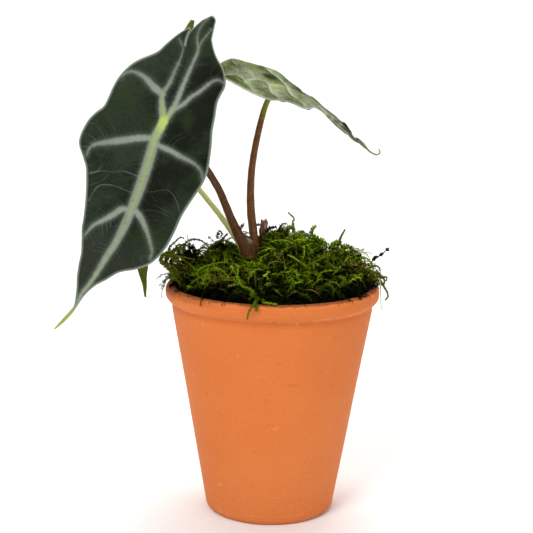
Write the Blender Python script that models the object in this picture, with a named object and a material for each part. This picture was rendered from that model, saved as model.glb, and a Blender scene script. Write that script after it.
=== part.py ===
"""Potted alocasia: a dark velvet-leaved plant in a tapered terracotta pot.

Metres, +Z up, the camera side is -Y. Lengths below are in millimetres and are
turned into metres when a mesh is made. The plant is built about the pot's axis
and everything is shifted at the end, so that the middle of the underside of the
whole thing's box is the origin.
"""

import math
import random

import bmesh
import bpy
import numpy as np
from mathutils import Vector, noise

MM = 0.001
GAP = 0.3                       # clearance between touching pieces

# Pot, turned about its axis
POT_STEPS = 44
RIM_RADIUS = 55.0
RIM_TOP = 119.0
RIM_UNDERSIDE = 110.2
BODY_TOP_RADIUS = 51.5
BASE_RADIUS = 33.9
FLOOR_TOP = 6.0
HOLE_RADIUS = 6.5

# Filling
SOIL_TOP = 110.0
SOIL_STEPS = 32
CORM_CENTRE = (-10.0, -2.3)
CORM_FOOT = 85.0
CORM_TOP = 116.0
CORM_RADIUS = 9.1
CORM_STEPS = 20

# Moss mound
MOSS_FOOT = SOIL_TOP + GAP
MOSS_RADIUS = 46.6
MOSS_OVERHANG = 8.0
MOUND_SHARES = (0.16, 0.34, 0.52, 0.68, 0.82, 0.93, 1.0)
MOSS_SPOKES = 30
MOSS_WELL = (-10.0, -2.3)       # plain hole that the stems stand in
MOSS_WELL_RADIUS = 9.6
STRAND_COUNT = 150
STRAND_RADIUS = 0.62
STRAND_SIDES = 3
STRAND_SINK = 4.2
STEM_CLEARANCE = 1.3
WALL_CLEARANCE = 0.6

# Blades
BLADE_HALF = 0.36
KEEL = 0.95
KEEL_WIDTH = 2.2
WAVE_REACH = 12.0               # a margin nearer the midrib than this waves less
LEFT_LAG = 0.1                  # the left margin waves a little later than the right
FURROW_WIDTH = 2.0
FURROW_RAMP = 14.0
BLADE_COLUMNS = (0.0, 0.08, 0.3, 0.55, 0.8, 1.0)

# Stalks: start in the corm's flat top, end on the back of a blade
STALK_FOOT = CORM_TOP + GAP
STALK_SIDES = 8
STALK_RINGS = 15

PIECES = []


def clear_scene():
    for piece in list(bpy.data.objects):
        bpy.data.objects.remove(piece, do_unlink=True)


def material(name, colour, roughness):
    made = bpy.data.materials.new(name)
    made.use_nodes = True
    shader = made.node_tree.nodes["Principled BSDF"]
    shader.inputs["Base Color"].default_value = (*colour, 1.0)
    shader.inputs["Roughness"].default_value = roughness
    shader.inputs["Metallic"].default_value = 0.0
    return made


def mesh_piece(name, points, faces, skin, smooth=True):
    """A new object from points in millimetres."""
    mesh = bpy.data.meshes.new(name)
    mesh.from_pydata([tuple(c * MM for c in p) for p in points], [], faces)
    mesh.materials.append(skin)
    tidy = bmesh.new()
    tidy.from_mesh(mesh)
    bmesh.ops.recalc_face_normals(tidy, faces=tidy.faces)
    tidy.to_mesh(mesh)
    tidy.free()
    mesh.polygons.foreach_set("use_smooth", [smooth] * len(mesh.polygons))
    piece = bpy.data.objects.new(name, mesh)
    bpy.context.scene.collection.objects.link(piece)
    return piece


def turned(name, profile, steps, skin, centre=(0.0, 0.0)):
    """A closed profile of (radius, height) turned about the upright axis."""
    points = []
    for radius, height in profile:
        points.append((radius * MM, 0.0, height * MM))
    edges = [(i, (i + 1) % len(profile)) for i in range(len(profile))]
    mesh = bpy.data.meshes.new(name)
    mesh.from_pydata(points, edges, [])
    mesh.materials.append(skin)
    piece = bpy.data.objects.new(name, mesh)
    piece.location = (centre[0] * MM, centre[1] * MM, 0.0)
    bpy.context.scene.collection.objects.link(piece)
    screw = piece.modifiers.new("turn", "SCREW")
    screw.axis = "Z"
    screw.steps = steps
    screw.render_steps = steps
    screw.use_merge_vertices = True
    screw.merge_threshold = 0.00001
    screw.use_smooth_shade = True
    return piece


def cutter(name, radius, low, high, centre, steps):
    """An upright cylinder that only serves to cut a hole."""
    ring = []
    for i in range(steps):
        turn = math.tau * i / steps
        ring.append((radius * math.cos(turn), radius * math.sin(turn)))
    points = [(x + centre[0], y + centre[1], low) for x, y in ring]
    points += [(x + centre[0], y + centre[1], high) for x, y in ring]
    faces = [tuple(range(steps)), tuple(range(steps, 2 * steps))]
    for i in range(steps):
        nxt = (i + 1) % steps
        faces.append((i, nxt, steps + nxt, steps + i))
    tool = mesh_piece(name, points, faces, SKINS["soil"], smooth=False)
    tool.hide_render = True
    tool.display_type = "WIRE"
    return tool


def cut(piece, tool):
    hole = piece.modifiers.new("hole", "BOOLEAN")
    hole.operation = "DIFFERENCE"
    hole.solver = "EXACT"
    hole.object = tool


def smooth_path(points, count):
    """Catmull-Rom curve through rows of numbers, evenly spread by length."""
    rows = np.array(points, float)
    ends = np.vstack([2 * rows[0] - rows[1], rows, 2 * rows[-1] - rows[-2]])
    fine = []
    for i in range(1, len(ends) - 2):
        a, b, c, d = ends[i - 1], ends[i], ends[i + 1], ends[i + 2]
        for t in np.linspace(0.0, 1.0, 12, endpoint=False):
            fine.append(0.5 * (2 * b + (c - a) * t + (2 * a - 5 * b + 4 * c - d) * t ** 2
                               + (3 * b - a - 3 * c + d) * t ** 3))
    fine.append(rows[-1])
    fine = np.array(fine)
    steps = np.linalg.norm(np.diff(fine[:, :3], axis=0), axis=1)
    along = np.concatenate([[0.0], np.cumsum(steps)])
    wanted = np.linspace(0.0, along[-1], count)
    return np.stack([np.interp(wanted, along, fine[:, k]) for k in range(fine.shape[1])], 1)


def frame_from(normal, down):
    """Side, length and face directions of a blade."""
    face = Vector(normal).normalized()
    length = Vector(down)
    length = (length - length.dot(face) * face).normalized()
    side = face.cross(length)
    return np.array(side), np.array(length), np.array(face)


# Outline of the large blade, in the blade's own plane: across and down from the
# point where the stalk meets it. Each row is a cross rib: (middle, left, right).
LARGE_RIBS = [
    ((-8.6, -36.1), (-18.6, -27.0), (5.3, -40.2)),
    ((-7.7, -32.0), (-24.4, -20.0), (9.2, -37.4)),
    ((-6.6, -28.0), (-27.5, -14.3), (12.9, -35.3)),
    ((-5.4, -22.5), (-29.0, -8.4), (16.0, -32.0)),
    ((-4.1, -17.6), (-29.1, -3.1), (18.0, -28.1)),
    ((-3.0, -12.0), (-28.6, 3.3), (18.2, -22.9)),
    ((-2.1, -8.0), (-28.8, 7.5), (18.7, -19.1)),
    ((0.0, 0.0), (-31.0, 11.5), (21.0, -13.4)),
    ((0.1, 4.2), (-32.6, 16.1), (22.9, -7.5)),
    ((0.3, 9.6), (-32.9, 21.1), (25.2, -2.0)),
    ((1.2, 13.9), (-32.2, 26.5), (27.5, 3.9)),
    ((2.8, 21.6), (-30.4, 30.2), (30.0, 11.9)),
    ((4.1, 29.6), (-26.7, 34.0), (30.6, 18.6)),
    ((5.2, 38.2), (-22.8, 38.0), (29.6, 28.4)),
    ((5.9, 45.5), (-19.1, 44.4), (28.9, 36.0)),
    ((6.4, 52.9), (-16.0, 51.3), (29.5, 45.5)),
    ((6.4, 59.0), (-13.3, 59.5), (29.2, 54.0)),
    ((6.1, 65.0), (-11.6, 65.0), (26.6, 62.6)),
    ((5.6, 70.0), (-9.0, 70.0), (21.4, 69.0)),
    ((5.1, 75.0), (-6.5, 75.2), (14.5, 74.8)),
    ((4.5, 81.0), (-5.0, 81.1), (10.4, 81.2)),
    ((3.8, 87.0), (-3.3, 86.9), (6.6, 87.0)),
    ((2.6, 93.5), (-0.7, 93.5), (4.2, 93.4)),
    ((2.1, 100.5), (1.3, 100.3), (3.0, 101.0)),
    ((1.6, 104.7), (1.0, 104.4), (2.2, 105.0)),
    ((-0.15, 110.8), (-0.8, 110.6), (0.5, 110.9)),
    ((-2.2, 116.6), (-2.7, 116.3), (-1.7, 116.8)),
]
LARGE_LEFT_LOBE = [((-11.6, -42.9), (-12.4, -42.6)), ((-10.6, -40.6), (-14.7, -37.6)),
                   ((-9.5, -38.2), (-16.6, -32.4))]
LARGE_RIGHT_LOBE = [((-4.8, -54.5), (-3.4, -54.7)), ((-6.4, -52.2), (-1.6, -53.4)),
                    ((-7.8, -49.8), (-0.8, -51.1)), ((-9.5, -44.6), (0.7, -46.5)),
                    ((-9.8, -41.0), (1.7, -44.1))]

# Half outline of the two smaller blades, full size: (middle, right); the left mirrors it
SMALL_HALF = [
    ((0.0, -32.0), (18.0, -40.0)),
    ((0.0, -27.0), (24.0, -32.0)),
    ((0.0, -20.0), (29.0, -22.0)),
    ((0.0, -10.0), (31.0, -10.0)),
    ((0.0, 0.0), (32.0, 0.0)),
    ((0.0, 10.0), (31.0, 12.0)),
    ((0.0, 24.0), (29.0, 25.0)),
    ((0.0, 37.0), (25.5, 38.0)),
    ((0.0, 49.0), (21.0, 50.0)),
    ((0.0, 61.0), (16.0, 62.0)),
    ((0.0, 73.0), (10.5, 74.0)),
    ((0.0, 85.0), (6.0, 85.0)),
    ((0.0, 94.0), (3.0, 94.0)),
    ((0.0, 102.0), (1.5, 102.0)),
    ((0.0, 110.0), (0.9, 110.0)),
    ((0.0, 117.0), (0.8, 116.6)),
]
SMALL_LOBE = [((7.2, -51.6), (8.8, -51.6)), ((3.5, -44.5), (13.0, -47.0)),
              ((1.0, -37.5), (16.0, -43.5))]


def mirrored(rows):
    return [tuple((-u, v) for u, v in row) for row in rows]


def small_outline():
    ribs = [(mid, (-right[0], right[1]), right) for mid, right in SMALL_HALF]
    return ribs, mirrored(SMALL_LOBE), SMALL_LOBE


BLADES = {
    "leaf_large": {
        "outline": (LARGE_RIBS, LARGE_LEFT_LOBE, LARGE_RIGHT_LOBE), "rows": 30, "scale": 1.0,
        "junction": (-52.8, -38.0, 204.4), "face": (-0.10, -0.98, 0.12),
        "down": (-0.462, -0.061, -0.885), "bend_tip": 0.0009, "bend_lobe": 0.0020,
        "curl": 0.0, "fold": 0.13, "cup": 0.0036, "furrow": 1.5, "wave": 0.9,
        "wave_turns": 5.0,
    },
    "leaf_right": {
        "outline": small_outline(), "rows": 24, "scale": 0.675,
        "junction": (-0.1, 2.0, 219.8), "face": (0.371, -0.248, 0.895),
        "down": (0.833, 0.514, -0.203), "bend_tip": 0.00737, "bend_lobe": -0.0011,
        "curl": 0.0000403, "fold": -0.119, "cup": -0.0080, "furrow": 0.8, "wave": 0.6,
        "wave_turns": 4.0,
    },
    "leaf_rear": {
        "outline": small_outline(), "rows": 24, "scale": 0.844,
        "junction": (-53.6, 12.0, 208.0), "face": (-0.904, 0.387, 0.182),
        "down": (-0.219, -0.053, -0.974), "bend_tip": 0.0010, "bend_lobe": 0.0014,
        "curl": 0.0, "fold": 0.064, "cup": 0.0020, "furrow": 0.8, "wave": 0.8,
        "wave_turns": 4.0,
    },
}


def blade(name, skin):
    """One leaf blade: both faces share one split, with a keel along the back."""
    leaf = BLADES[name]
    side, length, face = frame_from(leaf["face"], leaf["down"])
    origin = np.array(leaf["junction"])
    ribs, left_lobe, right_lobe = leaf["outline"]
    flat = [[c * leaf["scale"] for point in rib for c in point] for rib in ribs]
    rows = smooth_rows(flat, leaf["rows"])
    midline_v, midline_u = rows[:, 1], rows[:, 0]
    total = len(rows)

    front, back, grid = [], [], []

    def place(u, v, across, reach, progress):
        """Front and back points of the blade at (u, v)."""
        middle = np.interp(v, midline_v, midline_u) if v > 0.0 else 0.0
        off = abs(u - middle)
        bend = leaf["bend_tip"] if v > 0.0 else leaf["bend_lobe"]
        lift = -bend * v * v + leaf["fold"] * off - leaf["cup"] * off * off
        lift += leaf["curl"] * max(0.0, v) ** 3
        turns = leaf["wave_turns"] * math.tau * progress
        lift += leaf["wave"] * across ** 2 * min(1.0, reach / WAVE_REACH) * math.sin(turns)
        if v < 0.0:
            ramp = min(1.0, -v / FURROW_RAMP)
            lift -= leaf["furrow"] * ramp * math.exp(-(across * reach / FURROW_WIDTH) ** 2)
        keel = KEEL * math.exp(-(across * reach / KEEL_WIDTH) ** 2) * max(0.25, 1.0 - progress)
        centre = origin + u * side + v * length
        front.append(centre + (lift + BLADE_HALF) * face)
        back.append(centre + (lift - BLADE_HALF - keel) * face)
        return len(front) - 1

    def half_row(inner, outer, progress, columns, sign):
        ids = []
        inner, outer = np.array(inner), np.array(outer)
        reach = float(np.linalg.norm(outer - inner))
        for across in columns:
            u, v = inner + (outer - inner) * across
            ids.append(place(u, v, across, reach, progress + (LEFT_LAG if sign < 0 else 0.0)))
        return ids

    for index, row in enumerate(rows):
        progress = index / (total - 1)
        left = half_row(row[0:2], row[2:4], progress, BLADE_COLUMNS[1:], -1)
        middle = half_row(row[0:2], row[4:6], progress, BLADE_COLUMNS[:1], 1)
        right = half_row(row[0:2], row[4:6], progress, BLADE_COLUMNS[1:], 1)
        grid.append(left[::-1] + middle + right)

    triangles = []

    def stitch(one, two):
        for k in range(len(one) - 1):
            a, b, c, d = one[k], one[k + 1], two[k + 1], two[k]
            if k % 2:
                triangles.extend([(a, b, c), (a, c, d)])
            else:
                triangles.extend([(a, b, d), (b, c, d)])

    for one, two in zip(grid[:-1], grid[1:]):
        stitch(one, two)
    count = len(BLADE_COLUMNS) - 1
    for lobe, first, sign in ((left_lobe, grid[0][:count + 1], -1),
                              (right_lobe, grid[0][count:], 1)):
        previous = None
        for inner, outer in lobe:
            inner = np.array(inner) * leaf["scale"]
            outer = np.array(outer) * leaf["scale"]
            ids = half_row(inner, outer, 0.0, BLADE_COLUMNS, sign)
            ids = ids[::-1] if sign < 0 else ids
            if previous is not None:
                stitch(previous, ids)
            previous = ids
        stitch(previous, first)

    shift = len(front)
    faces = list(triangles) + [(c + shift, b + shift, a + shift) for a, b, c in triangles]
    open_edges = {}
    for a, b, c in triangles:
        for edge in ((a, b), (b, c), (c, a)):
            if (edge[1], edge[0]) in open_edges:
                del open_edges[(edge[1], edge[0])]
            else:
                open_edges[edge] = True
    for a, b in open_edges:
        faces.append((b, a, a + shift))
        faces.append((b, a + shift, b + shift))
    piece = mesh_piece(name, front + back, faces, skin)
    PIECES.append(piece)
    return origin, face


def smooth_rows(flat, count):
    """Ribs respaced along the midrib, each number following one smooth curve."""
    rows = np.array(flat)
    return smooth_path(np.hstack([rows[:, 0:2], np.zeros((len(rows), 1)), rows]), count)[:, 3:]


def ring(centre, normal, radius, sides, start):
    """Points of a ring about a centre, the first one kept near a given direction."""
    normal = Vector(normal).normalized()
    first = Vector(start)
    first = (first - first.dot(normal) * normal).normalized()
    second = normal.cross(first)
    points = []
    for i in range(sides):
        turn = math.tau * i / sides
        points.append(np.array(centre) + radius * (math.cos(turn) * np.array(first)
                                                   + math.sin(turn) * np.array(second)))
    return points


def tube(path, radii, sides, start=(1.0, 0.0, 0.0), foot=None, head=None):
    """Points and faces of a closed round tube, its end rings turned as asked."""
    count = len(path)
    tangents = np.gradient(np.array(path), axis=0)
    if foot is not None:
        tangents[0] = foot
    if head is not None:
        tangents[-1] = head
    points, faces = [], []
    for index in range(count):
        points += ring(path[index], tangents[index], radii[index], sides, start)
    for index in range(count - 1):
        low, high = index * sides, (index + 1) * sides
        for i in range(sides):
            nxt = (i + 1) % sides
            faces.append((low + i, low + nxt, high + nxt))
            faces.append((low + i, high + nxt, high + i))
    faces.append(tuple(range(sides))[::-1])
    faces.append(tuple(range((count - 1) * sides, count * sides)))
    return points, faces


# Stalks as (x, y, z, radius); the last point of a leaf stalk is added at its blade
STALK_PATHS = {
    "stalk_large": [(-11.5, -5.8, STALK_FOOT, 2.5), (-11.7, -6.4, 124.0, 2.6),
                    (-13.9, -7.5, 137.5, 2.7), (-17.3, -9.0, 144.9, 2.5),
                    (-21.1, -12.0, 153.5, 2.15), (-24.3, -15.0, 161.9, 1.95),
                    (-27.7, -19.0, 170.4, 1.85), (-34.9, -24.5, 182.8, 1.75),
                    (-41.9, -29.0, 191.4, 1.7), (-47.9, -33.0, 197.9, 1.65)],
    "stalk_right": [(-6.2, -2.9, STALK_FOOT, 2.1), (-7.2, -3.4, 124.0, 2.1),
                    (-8.6, -4.0, 132.8, 2.2), (-9.3, -4.5, 140.1, 2.15),
                    (-10.5, -4.5, 148.4, 2.1), (-11.5, -4.5, 156.6, 2.05),
                    (-11.9, -4.0, 167.7, 1.85), (-11.3, -3.5, 179.3, 1.7),
                    (-9.5, -3.0, 191.4, 1.6), (-6.9, -2.0, 203.4, 1.5),
                    (-4.5, -0.6, 211.3, 1.4)],
    "stalk_rear": [(-11.6, 0.9, STALK_FOOT, 1.7), (-12.6, 1.2, 124.0, 1.65),
                   (-17.0, 1.2, 138.0, 1.55), (-22.8, 1.5, 147.2, 1.45),
                   (-28.8, 2.5, 155.2, 1.4), (-35.6, 3.5, 163.3, 1.35),
                   (-42.8, 5.0, 172.5, 1.3), (-46.9, 6.5, 184.0, 1.3),
                   (-47.8, 8.5, 198.0, 1.3)],
}
DRY_SHEATH_PATH = [(-4.8, 0.9, STALK_FOOT, 1.3), (-5.0, 0.8, 126.0, 1.4), (-5.7, 0.5, 135.2, 1.3),
                   (-6.0, 0.5, 141.4, 1.1), (-5.8, 0.5, 146.1, 1.5), (-4.9, 0.5, 149.7, 1.2),
                   (-5.3, 0.5, 151.5, 0.5)]


def stalk(name, skin, junction, face):
    """A leaf stalk from the corm's top to just behind its blade."""
    points = list(STALK_PATHS[name])
    reach = BLADE_HALF + KEEL + GAP
    end = junction - reach * face
    points.append((*end, points[-1][3] * 0.95))
    path = smooth_path(points, STALK_RINGS)
    made, faces = tube(path[:, :3], path[:, 3], STALK_SIDES, foot=(0, 0, 1), head=face)
    piece = mesh_piece(name, made, faces, skin)
    PIECES.append(piece)
    return path[:, :3]


def mound_reach(turn):
    """Radius of the mound above the rim: it leans over the rim except at the front."""
    return MOSS_RADIUS + MOSS_OVERHANG * min(1.0, max(0.0, 0.6 + 0.9 * math.sin(turn)))


def mound_height(x, y):
    """Height of the moss mound over the pot's mouth."""
    out = math.hypot(x, y) / mound_reach(math.atan2(y, x))
    peak = 8.0 * math.exp(-((x - 10.0) / 18.0) ** 2)
    near_stems = 7.0 * math.exp(-((x + 10.0) / 13.0) ** 2 - ((y + 3.0) / 13.0) ** 2)
    forward = min(1.0, max(0.0, -y / MOSS_RADIUS))
    rough = 2.4 * noise.noise(Vector((x / 9.0, y / 9.0, 3.7)))
    dome = (24.0 + peak) * (1.0 - 0.5 * forward) - near_stems + rough
    return max(RIM_TOP + 2.6, MOSS_FOOT + dome * (1.0 - 0.62 * out ** 6))


def moss_core(skin):
    """Lumpy mound with a flat underside, inside the pot's mouth."""
    points, faces = [(0.0, 0.0, mound_height(0.0, 0.0))], []
    turns = [math.tau * i / MOSS_SPOKES for i in range(MOSS_SPOKES)]
    for share in MOUND_SHARES:
        for turn in turns:
            radius = mound_reach(turn) * share
            x, y = radius * math.cos(turn), radius * math.sin(turn)
            points.append((x, y, mound_height(x, y)))
    for radius, height in ((MOSS_RADIUS - 0.4, RIM_TOP + 0.5), (MOSS_RADIUS - 0.9, MOSS_FOOT)):
        for turn in turns:
            points.append((radius * math.cos(turn), radius * math.sin(turn), height))
    for i in range(MOSS_SPOKES):
        nxt = (i + 1) % MOSS_SPOKES
        faces.append((0, 1 + i, 1 + nxt))
        for k in range(len(MOUND_SHARES) + 1):
            low, high = 1 + k * MOSS_SPOKES, 1 + (k + 1) * MOSS_SPOKES
            faces.append((low + i, high + i, high + nxt))
            faces.append((low + i, high + nxt, low + nxt))
    foot = len(points) - MOSS_SPOKES
    faces.append(tuple(range(foot, foot + MOSS_SPOKES)))
    return mesh_piece("moss", points, faces, skin, smooth=False)


# Loose strands that stand out singly: points in millimetres from root to tip
LOOSE_STRANDS = [
    [(14.5, 5.0, 133.0), (13.8, 5.0, 138.4), (11.6, 5.0, 145.1), (9.0, 5.0, 150.3)],
    [(14.5, 1.0, 133.0), (15.2, 0.0, 140.8), (16.6, -1.0, 146.2), (20.5, -1.0, 150.5)],
    [(31.0, 1.0, 121.0), (33.3, 0.0, 133.9), (35.2, 0.0, 141.2), (37.0, 0.0, 147.0)],
    [(41.0, 0.0, 116.5), (48.9, 0.0, 127.5), (53.5, 0.0, 133.1), (58.0, 0.0, 136.8)],
    [(42.0, -5.0, 116.5), (49.5, -6.0, 125.0), (56.5, -7.0, 125.0), (58.8, -8.0, 114.0)],
    [(-6.0, -41.0, 116.0), (-7.3, -49.0, 124.3), (-9.0, -57.2, 123.0), (-11.5, -58.6, 114.0)],
    [(-42.0, -5.0, 116.5), (-53.0, -5.0, 127.5), (-57.4, -5.0, 136.3), (-47.5, -3.0, 142.0)],
    [(-40.0, -15.0, 116.5), (-50.5, -16.0, 130.0), (-52.4, -18.0, 139.0), (-41.5, -15.5, 139.5)],
    [(-38.0, 7.0, 119.0), (-46.0, 8.0, 131.3), (-42.1, 8.0, 139.0), (-31.0, 8.0, 136.5)],
    [(-38.0, -19.0, 118.0), (-50.5, -21.0, 126.0), (-55.9, -23.0, 133.0), (-53.0, -24.0, 140.0)],
    [(-23.0, 12.0, 122.0), (-25.6, 11.0, 136.5), (-22.5, 10.0, 142.5), (-17.0, 11.0, 141.0)],
]


def strand_is_clear(path, radius, stems):
    """True where a strand misses the stems, the pot's wall and the stems' well."""
    fine = np.array([path[i] + (path[i + 1] - path[i]) * t
                     for i in range(len(path) - 1) for t in (0.0, 0.34, 0.67)] + [path[-1]])
    for stem in stems:
        for a, b in zip(stem[:-1], stem[1:]):
            span = b - a
            t = np.clip(((fine - a) @ span) / (span @ span), 0.0, 1.0)
            near = np.linalg.norm(fine - (a + t[:, None] * span), axis=1).min()
            if near < 2.7 + radius + STEM_CLEARANCE:
                return False
    out = np.hypot(fine[:, 0], fine[:, 1])
    room = WALL_CLEARANCE + radius
    inside = out < MOSS_RADIUS + 0.8 - room
    above = fine[:, 2] > RIM_TOP + room
    outside = out > RIM_RADIUS + room
    if not np.all(inside | above | outside):
        return False
    if fine[:, 2].min() < MOSS_FOOT + 1.5:
        return False
    well = np.hypot(fine[:, 0] - MOSS_WELL[0], fine[:, 1] - MOSS_WELL[1])
    return bool(well.min() > 2.0)


def strand_paths(stems):
    """Curved strand paths rooted in the mound, placed by seeded draws."""
    draw = random.Random(23)
    made = []
    tries = 0
    while len(made) < STRAND_COUNT and tries < 6000:
        tries += 1
        turn = draw.uniform(0.0, math.tau)
        radius = mound_reach(turn) * math.sqrt(draw.uniform(0.02, 0.93))
        x, y = radius * math.cos(turn), radius * math.sin(turn)
        well = math.hypot(x - MOSS_WELL[0], y - MOSS_WELL[1])
        if well < MOSS_WELL_RADIUS + 3.5:
            continue
        heading = turn + draw.gauss(0.0, 0.9)
        rise = draw.uniform(0.35, 1.25)
        length = draw.uniform(9.0, 19.0)
        swing = draw.uniform(-0.5, 0.5)
        sag = draw.uniform(0.15, 0.5)
        point = np.array([x, y, mound_height(x, y) - STRAND_SINK])
        path = [point]
        steps = 5
        for k in range(steps):
            flat = math.cos(rise)
            step = np.array([math.cos(heading) * flat, math.sin(heading) * flat, math.sin(rise)])
            point = point + step * (length / steps)
            path.append(point)
            heading += swing
            rise -= sag
        width = STRAND_RADIUS * draw.uniform(0.85, 1.25)
        if strand_is_clear(path, width, stems):
            made.append((path, width))
    return made


def keep_main_body(mesh):
    """Fill hollows sealed between strands and drop scraps: only the main body stays."""
    shape = bmesh.new()
    shape.from_mesh(mesh)
    unseen = set(shape.verts)
    bodies = []
    while unseen:
        front = [unseen.pop()]
        body = []
        while front:
            vertex = front.pop()
            body.append(vertex)
            for edge in vertex.link_edges:
                other = edge.other_vert(vertex)
                if other in unseen:
                    unseen.remove(other)
                    front.append(other)
        bodies.append(body)
    bodies.sort(key=len)
    for body in bodies[:-1]:
        bmesh.ops.delete(shape, geom=body, context="VERTS")
    shape.to_mesh(mesh)
    shape.free()


def moss(skin, stems):
    """Mound, scattered strands and loose strands joined into one body."""
    core = moss_core(skin)
    well = cutter("moss_well", MOSS_WELL_RADIUS, MOSS_FOOT - 5.0, 170.0, MOSS_WELL, 20)
    cut(core, well)
    strands = bpy.data.collections.new("strands")
    bpy.context.scene.collection.children.link(strands)
    paths = strand_paths(stems)
    for points in LOOSE_STRANDS:
        path = smooth_path([(*p, 0.0) for p in points], 6)[:, :3]
        paths.append((list(path), STRAND_RADIUS * 1.15))
    for index, (path, width) in enumerate(paths):
        radii = [width * (1.15 - 0.6 * k / (len(path) - 1)) for k in range(len(path))]
        start = (math.cos(index), math.sin(index), 0.37)
        points, faces = tube(np.array(path), radii, STRAND_SIDES, start=start)
        strand = mesh_piece(f"strand_{index}", points, faces, skin, smooth=False)
        bpy.context.scene.collection.objects.unlink(strand)
        strands.objects.link(strand)
    join = core.modifiers.new("join", "BOOLEAN")
    join.operation = "UNION"
    join.solver = "MANIFOLD"
    join.operand_type = "COLLECTION"
    join.collection = strands
    seen = bpy.context.evaluated_depsgraph_get()
    whole = bpy.data.meshes.new_from_object(core.evaluated_get(seen))
    core.modifiers.clear()
    core.data = whole
    keep_main_body(whole)
    for strand in list(strands.objects):
        bpy.data.objects.remove(strand, do_unlink=True)
    bpy.data.collections.remove(strands)
    bpy.data.objects.remove(well, do_unlink=True)
    PIECES.append(core)


def settle_on_origin():
    """Shift everything so that the middle of the box's underside is the origin."""
    seen = bpy.context.evaluated_depsgraph_get()
    low, high = Vector((9.0, 9.0, 9.0)), Vector((-9.0, -9.0, -9.0))
    for piece in PIECES:
        mesh = piece.evaluated_get(seen).to_mesh()
        for vertex in mesh.vertices:
            spot = piece.matrix_world @ vertex.co
            low = Vector(map(min, low, spot))
            high = Vector(map(max, high, spot))
    centre = (low + high) / 2.0
    for thing in bpy.data.objects:
        thing.location.x -= centre.x
        thing.location.y -= centre.y
        thing.location.z -= low.z


clear_scene()
SKINS = {
    "terracotta": material("terracotta", (0.72, 0.20, 0.055), 0.75),
    "soil": material("soil", (0.030, 0.020, 0.013), 0.95),
    "corm": material("corm", (0.11, 0.055, 0.028), 0.8),
    "moss": material("moss", (0.10, 0.19, 0.012), 0.9),
    "stalk_brown": material("stalk_brown", (0.085, 0.038, 0.020), 0.55),
    "stalk_green": material("stalk_green", (0.42, 0.48, 0.16), 0.5),
    "dry_sheath": material("dry_sheath", (0.17, 0.095, 0.050), 0.85),
    "leaf_large": material("leaf_large", (0.020, 0.034, 0.020), 0.6),
    "leaf_right": material("leaf_right", (0.19, 0.27, 0.13), 0.6),
    "leaf_rear": material("leaf_rear", (0.030, 0.045, 0.022), 0.6),
}

pot = turned("pot", [
    (52.4, RIM_TOP), (53.9, 118.4), (54.8, 117.2), (RIM_RADIUS, 115.6), (54.8, 113.4),
    (54.1, 112.0), (53.1, 110.9), (BODY_TOP_RADIUS + 0.2, RIM_UNDERSIDE), (BODY_TOP_RADIUS, 106.5),
    (BASE_RADIUS, 4.6), (33.5, 2.2), (32.6, 0.8), (31.0, 0.0), (7.2, 0.0),
    (HOLE_RADIUS, 0.7), (HOLE_RADIUS, 5.3), (7.2, FLOOR_TOP), (26.8, FLOOR_TOP),
    (28.9, 7.6), (46.6, 106.5), (48.0, 111.0), (50.2, 117.6), (51.0, 118.8)],
    POT_STEPS, SKINS["terracotta"])
PIECES.append(pot)

soil = turned("potting_mix", [
    (0.0, SOIL_TOP), (46.6, SOIL_TOP), (46.2, 106.0), (28.45, 7.9), (26.6, FLOOR_TOP + GAP),
    (0.0, FLOOR_TOP + GAP)], SOIL_STEPS, SKINS["soil"])
PIECES.append(soil)
cut(soil, cutter("corm_hole", CORM_RADIUS + GAP, CORM_FOOT - GAP, SOIL_TOP + 8.0, CORM_CENTRE,
                 CORM_STEPS))

corm = turned("corm", [
    (0.0, CORM_TOP), (7.8, CORM_TOP), (8.6, 114.6), (CORM_RADIUS - 0.1, 108.0),
    (CORM_RADIUS - 0.1, 98.0), (8.2, 91.0), (5.4, CORM_FOOT), (0.0, CORM_FOOT)],
    CORM_STEPS, SKINS["corm"], CORM_CENTRE)
PIECES.append(corm)

large_at, large_face = blade("leaf_large", SKINS["leaf_large"])
right_at, right_face = blade("leaf_right", SKINS["leaf_right"])
rear_at, rear_face = blade("leaf_rear", SKINS["leaf_rear"])

stems = [stalk("stalk_large", SKINS["stalk_brown"], large_at, large_face),
         stalk("stalk_right", SKINS["stalk_brown"], right_at, right_face),
         stalk("stalk_rear", SKINS["stalk_green"], rear_at, rear_face)]

sheath_path = smooth_path(DRY_SHEATH_PATH, 9)
sheath_points, sheath_faces = tube(sheath_path[:, :3], sheath_path[:, 3], 6, foot=(0, 0, 1))
PIECES.append(mesh_piece("dry_sheath", sheath_points, sheath_faces, SKINS["dry_sheath"]))
stems.append(sheath_path[:, :3])

moss(SKINS["moss"], stems)
settle_on_origin()
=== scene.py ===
"""Finished look of the potted alocasia: blades with their veins, ribbed stalks,
a tangle of moss and a worn terracotta pot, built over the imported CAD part.

Lengths are in millimetres about the pot's axis, X to the right, Y away from the
camera and Z up. They become metres in the part's own frame when a mesh is made.
"""

import math
import random

import bpy
import numpy as np
from mathutils import Matrix, Vector, noise


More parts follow.
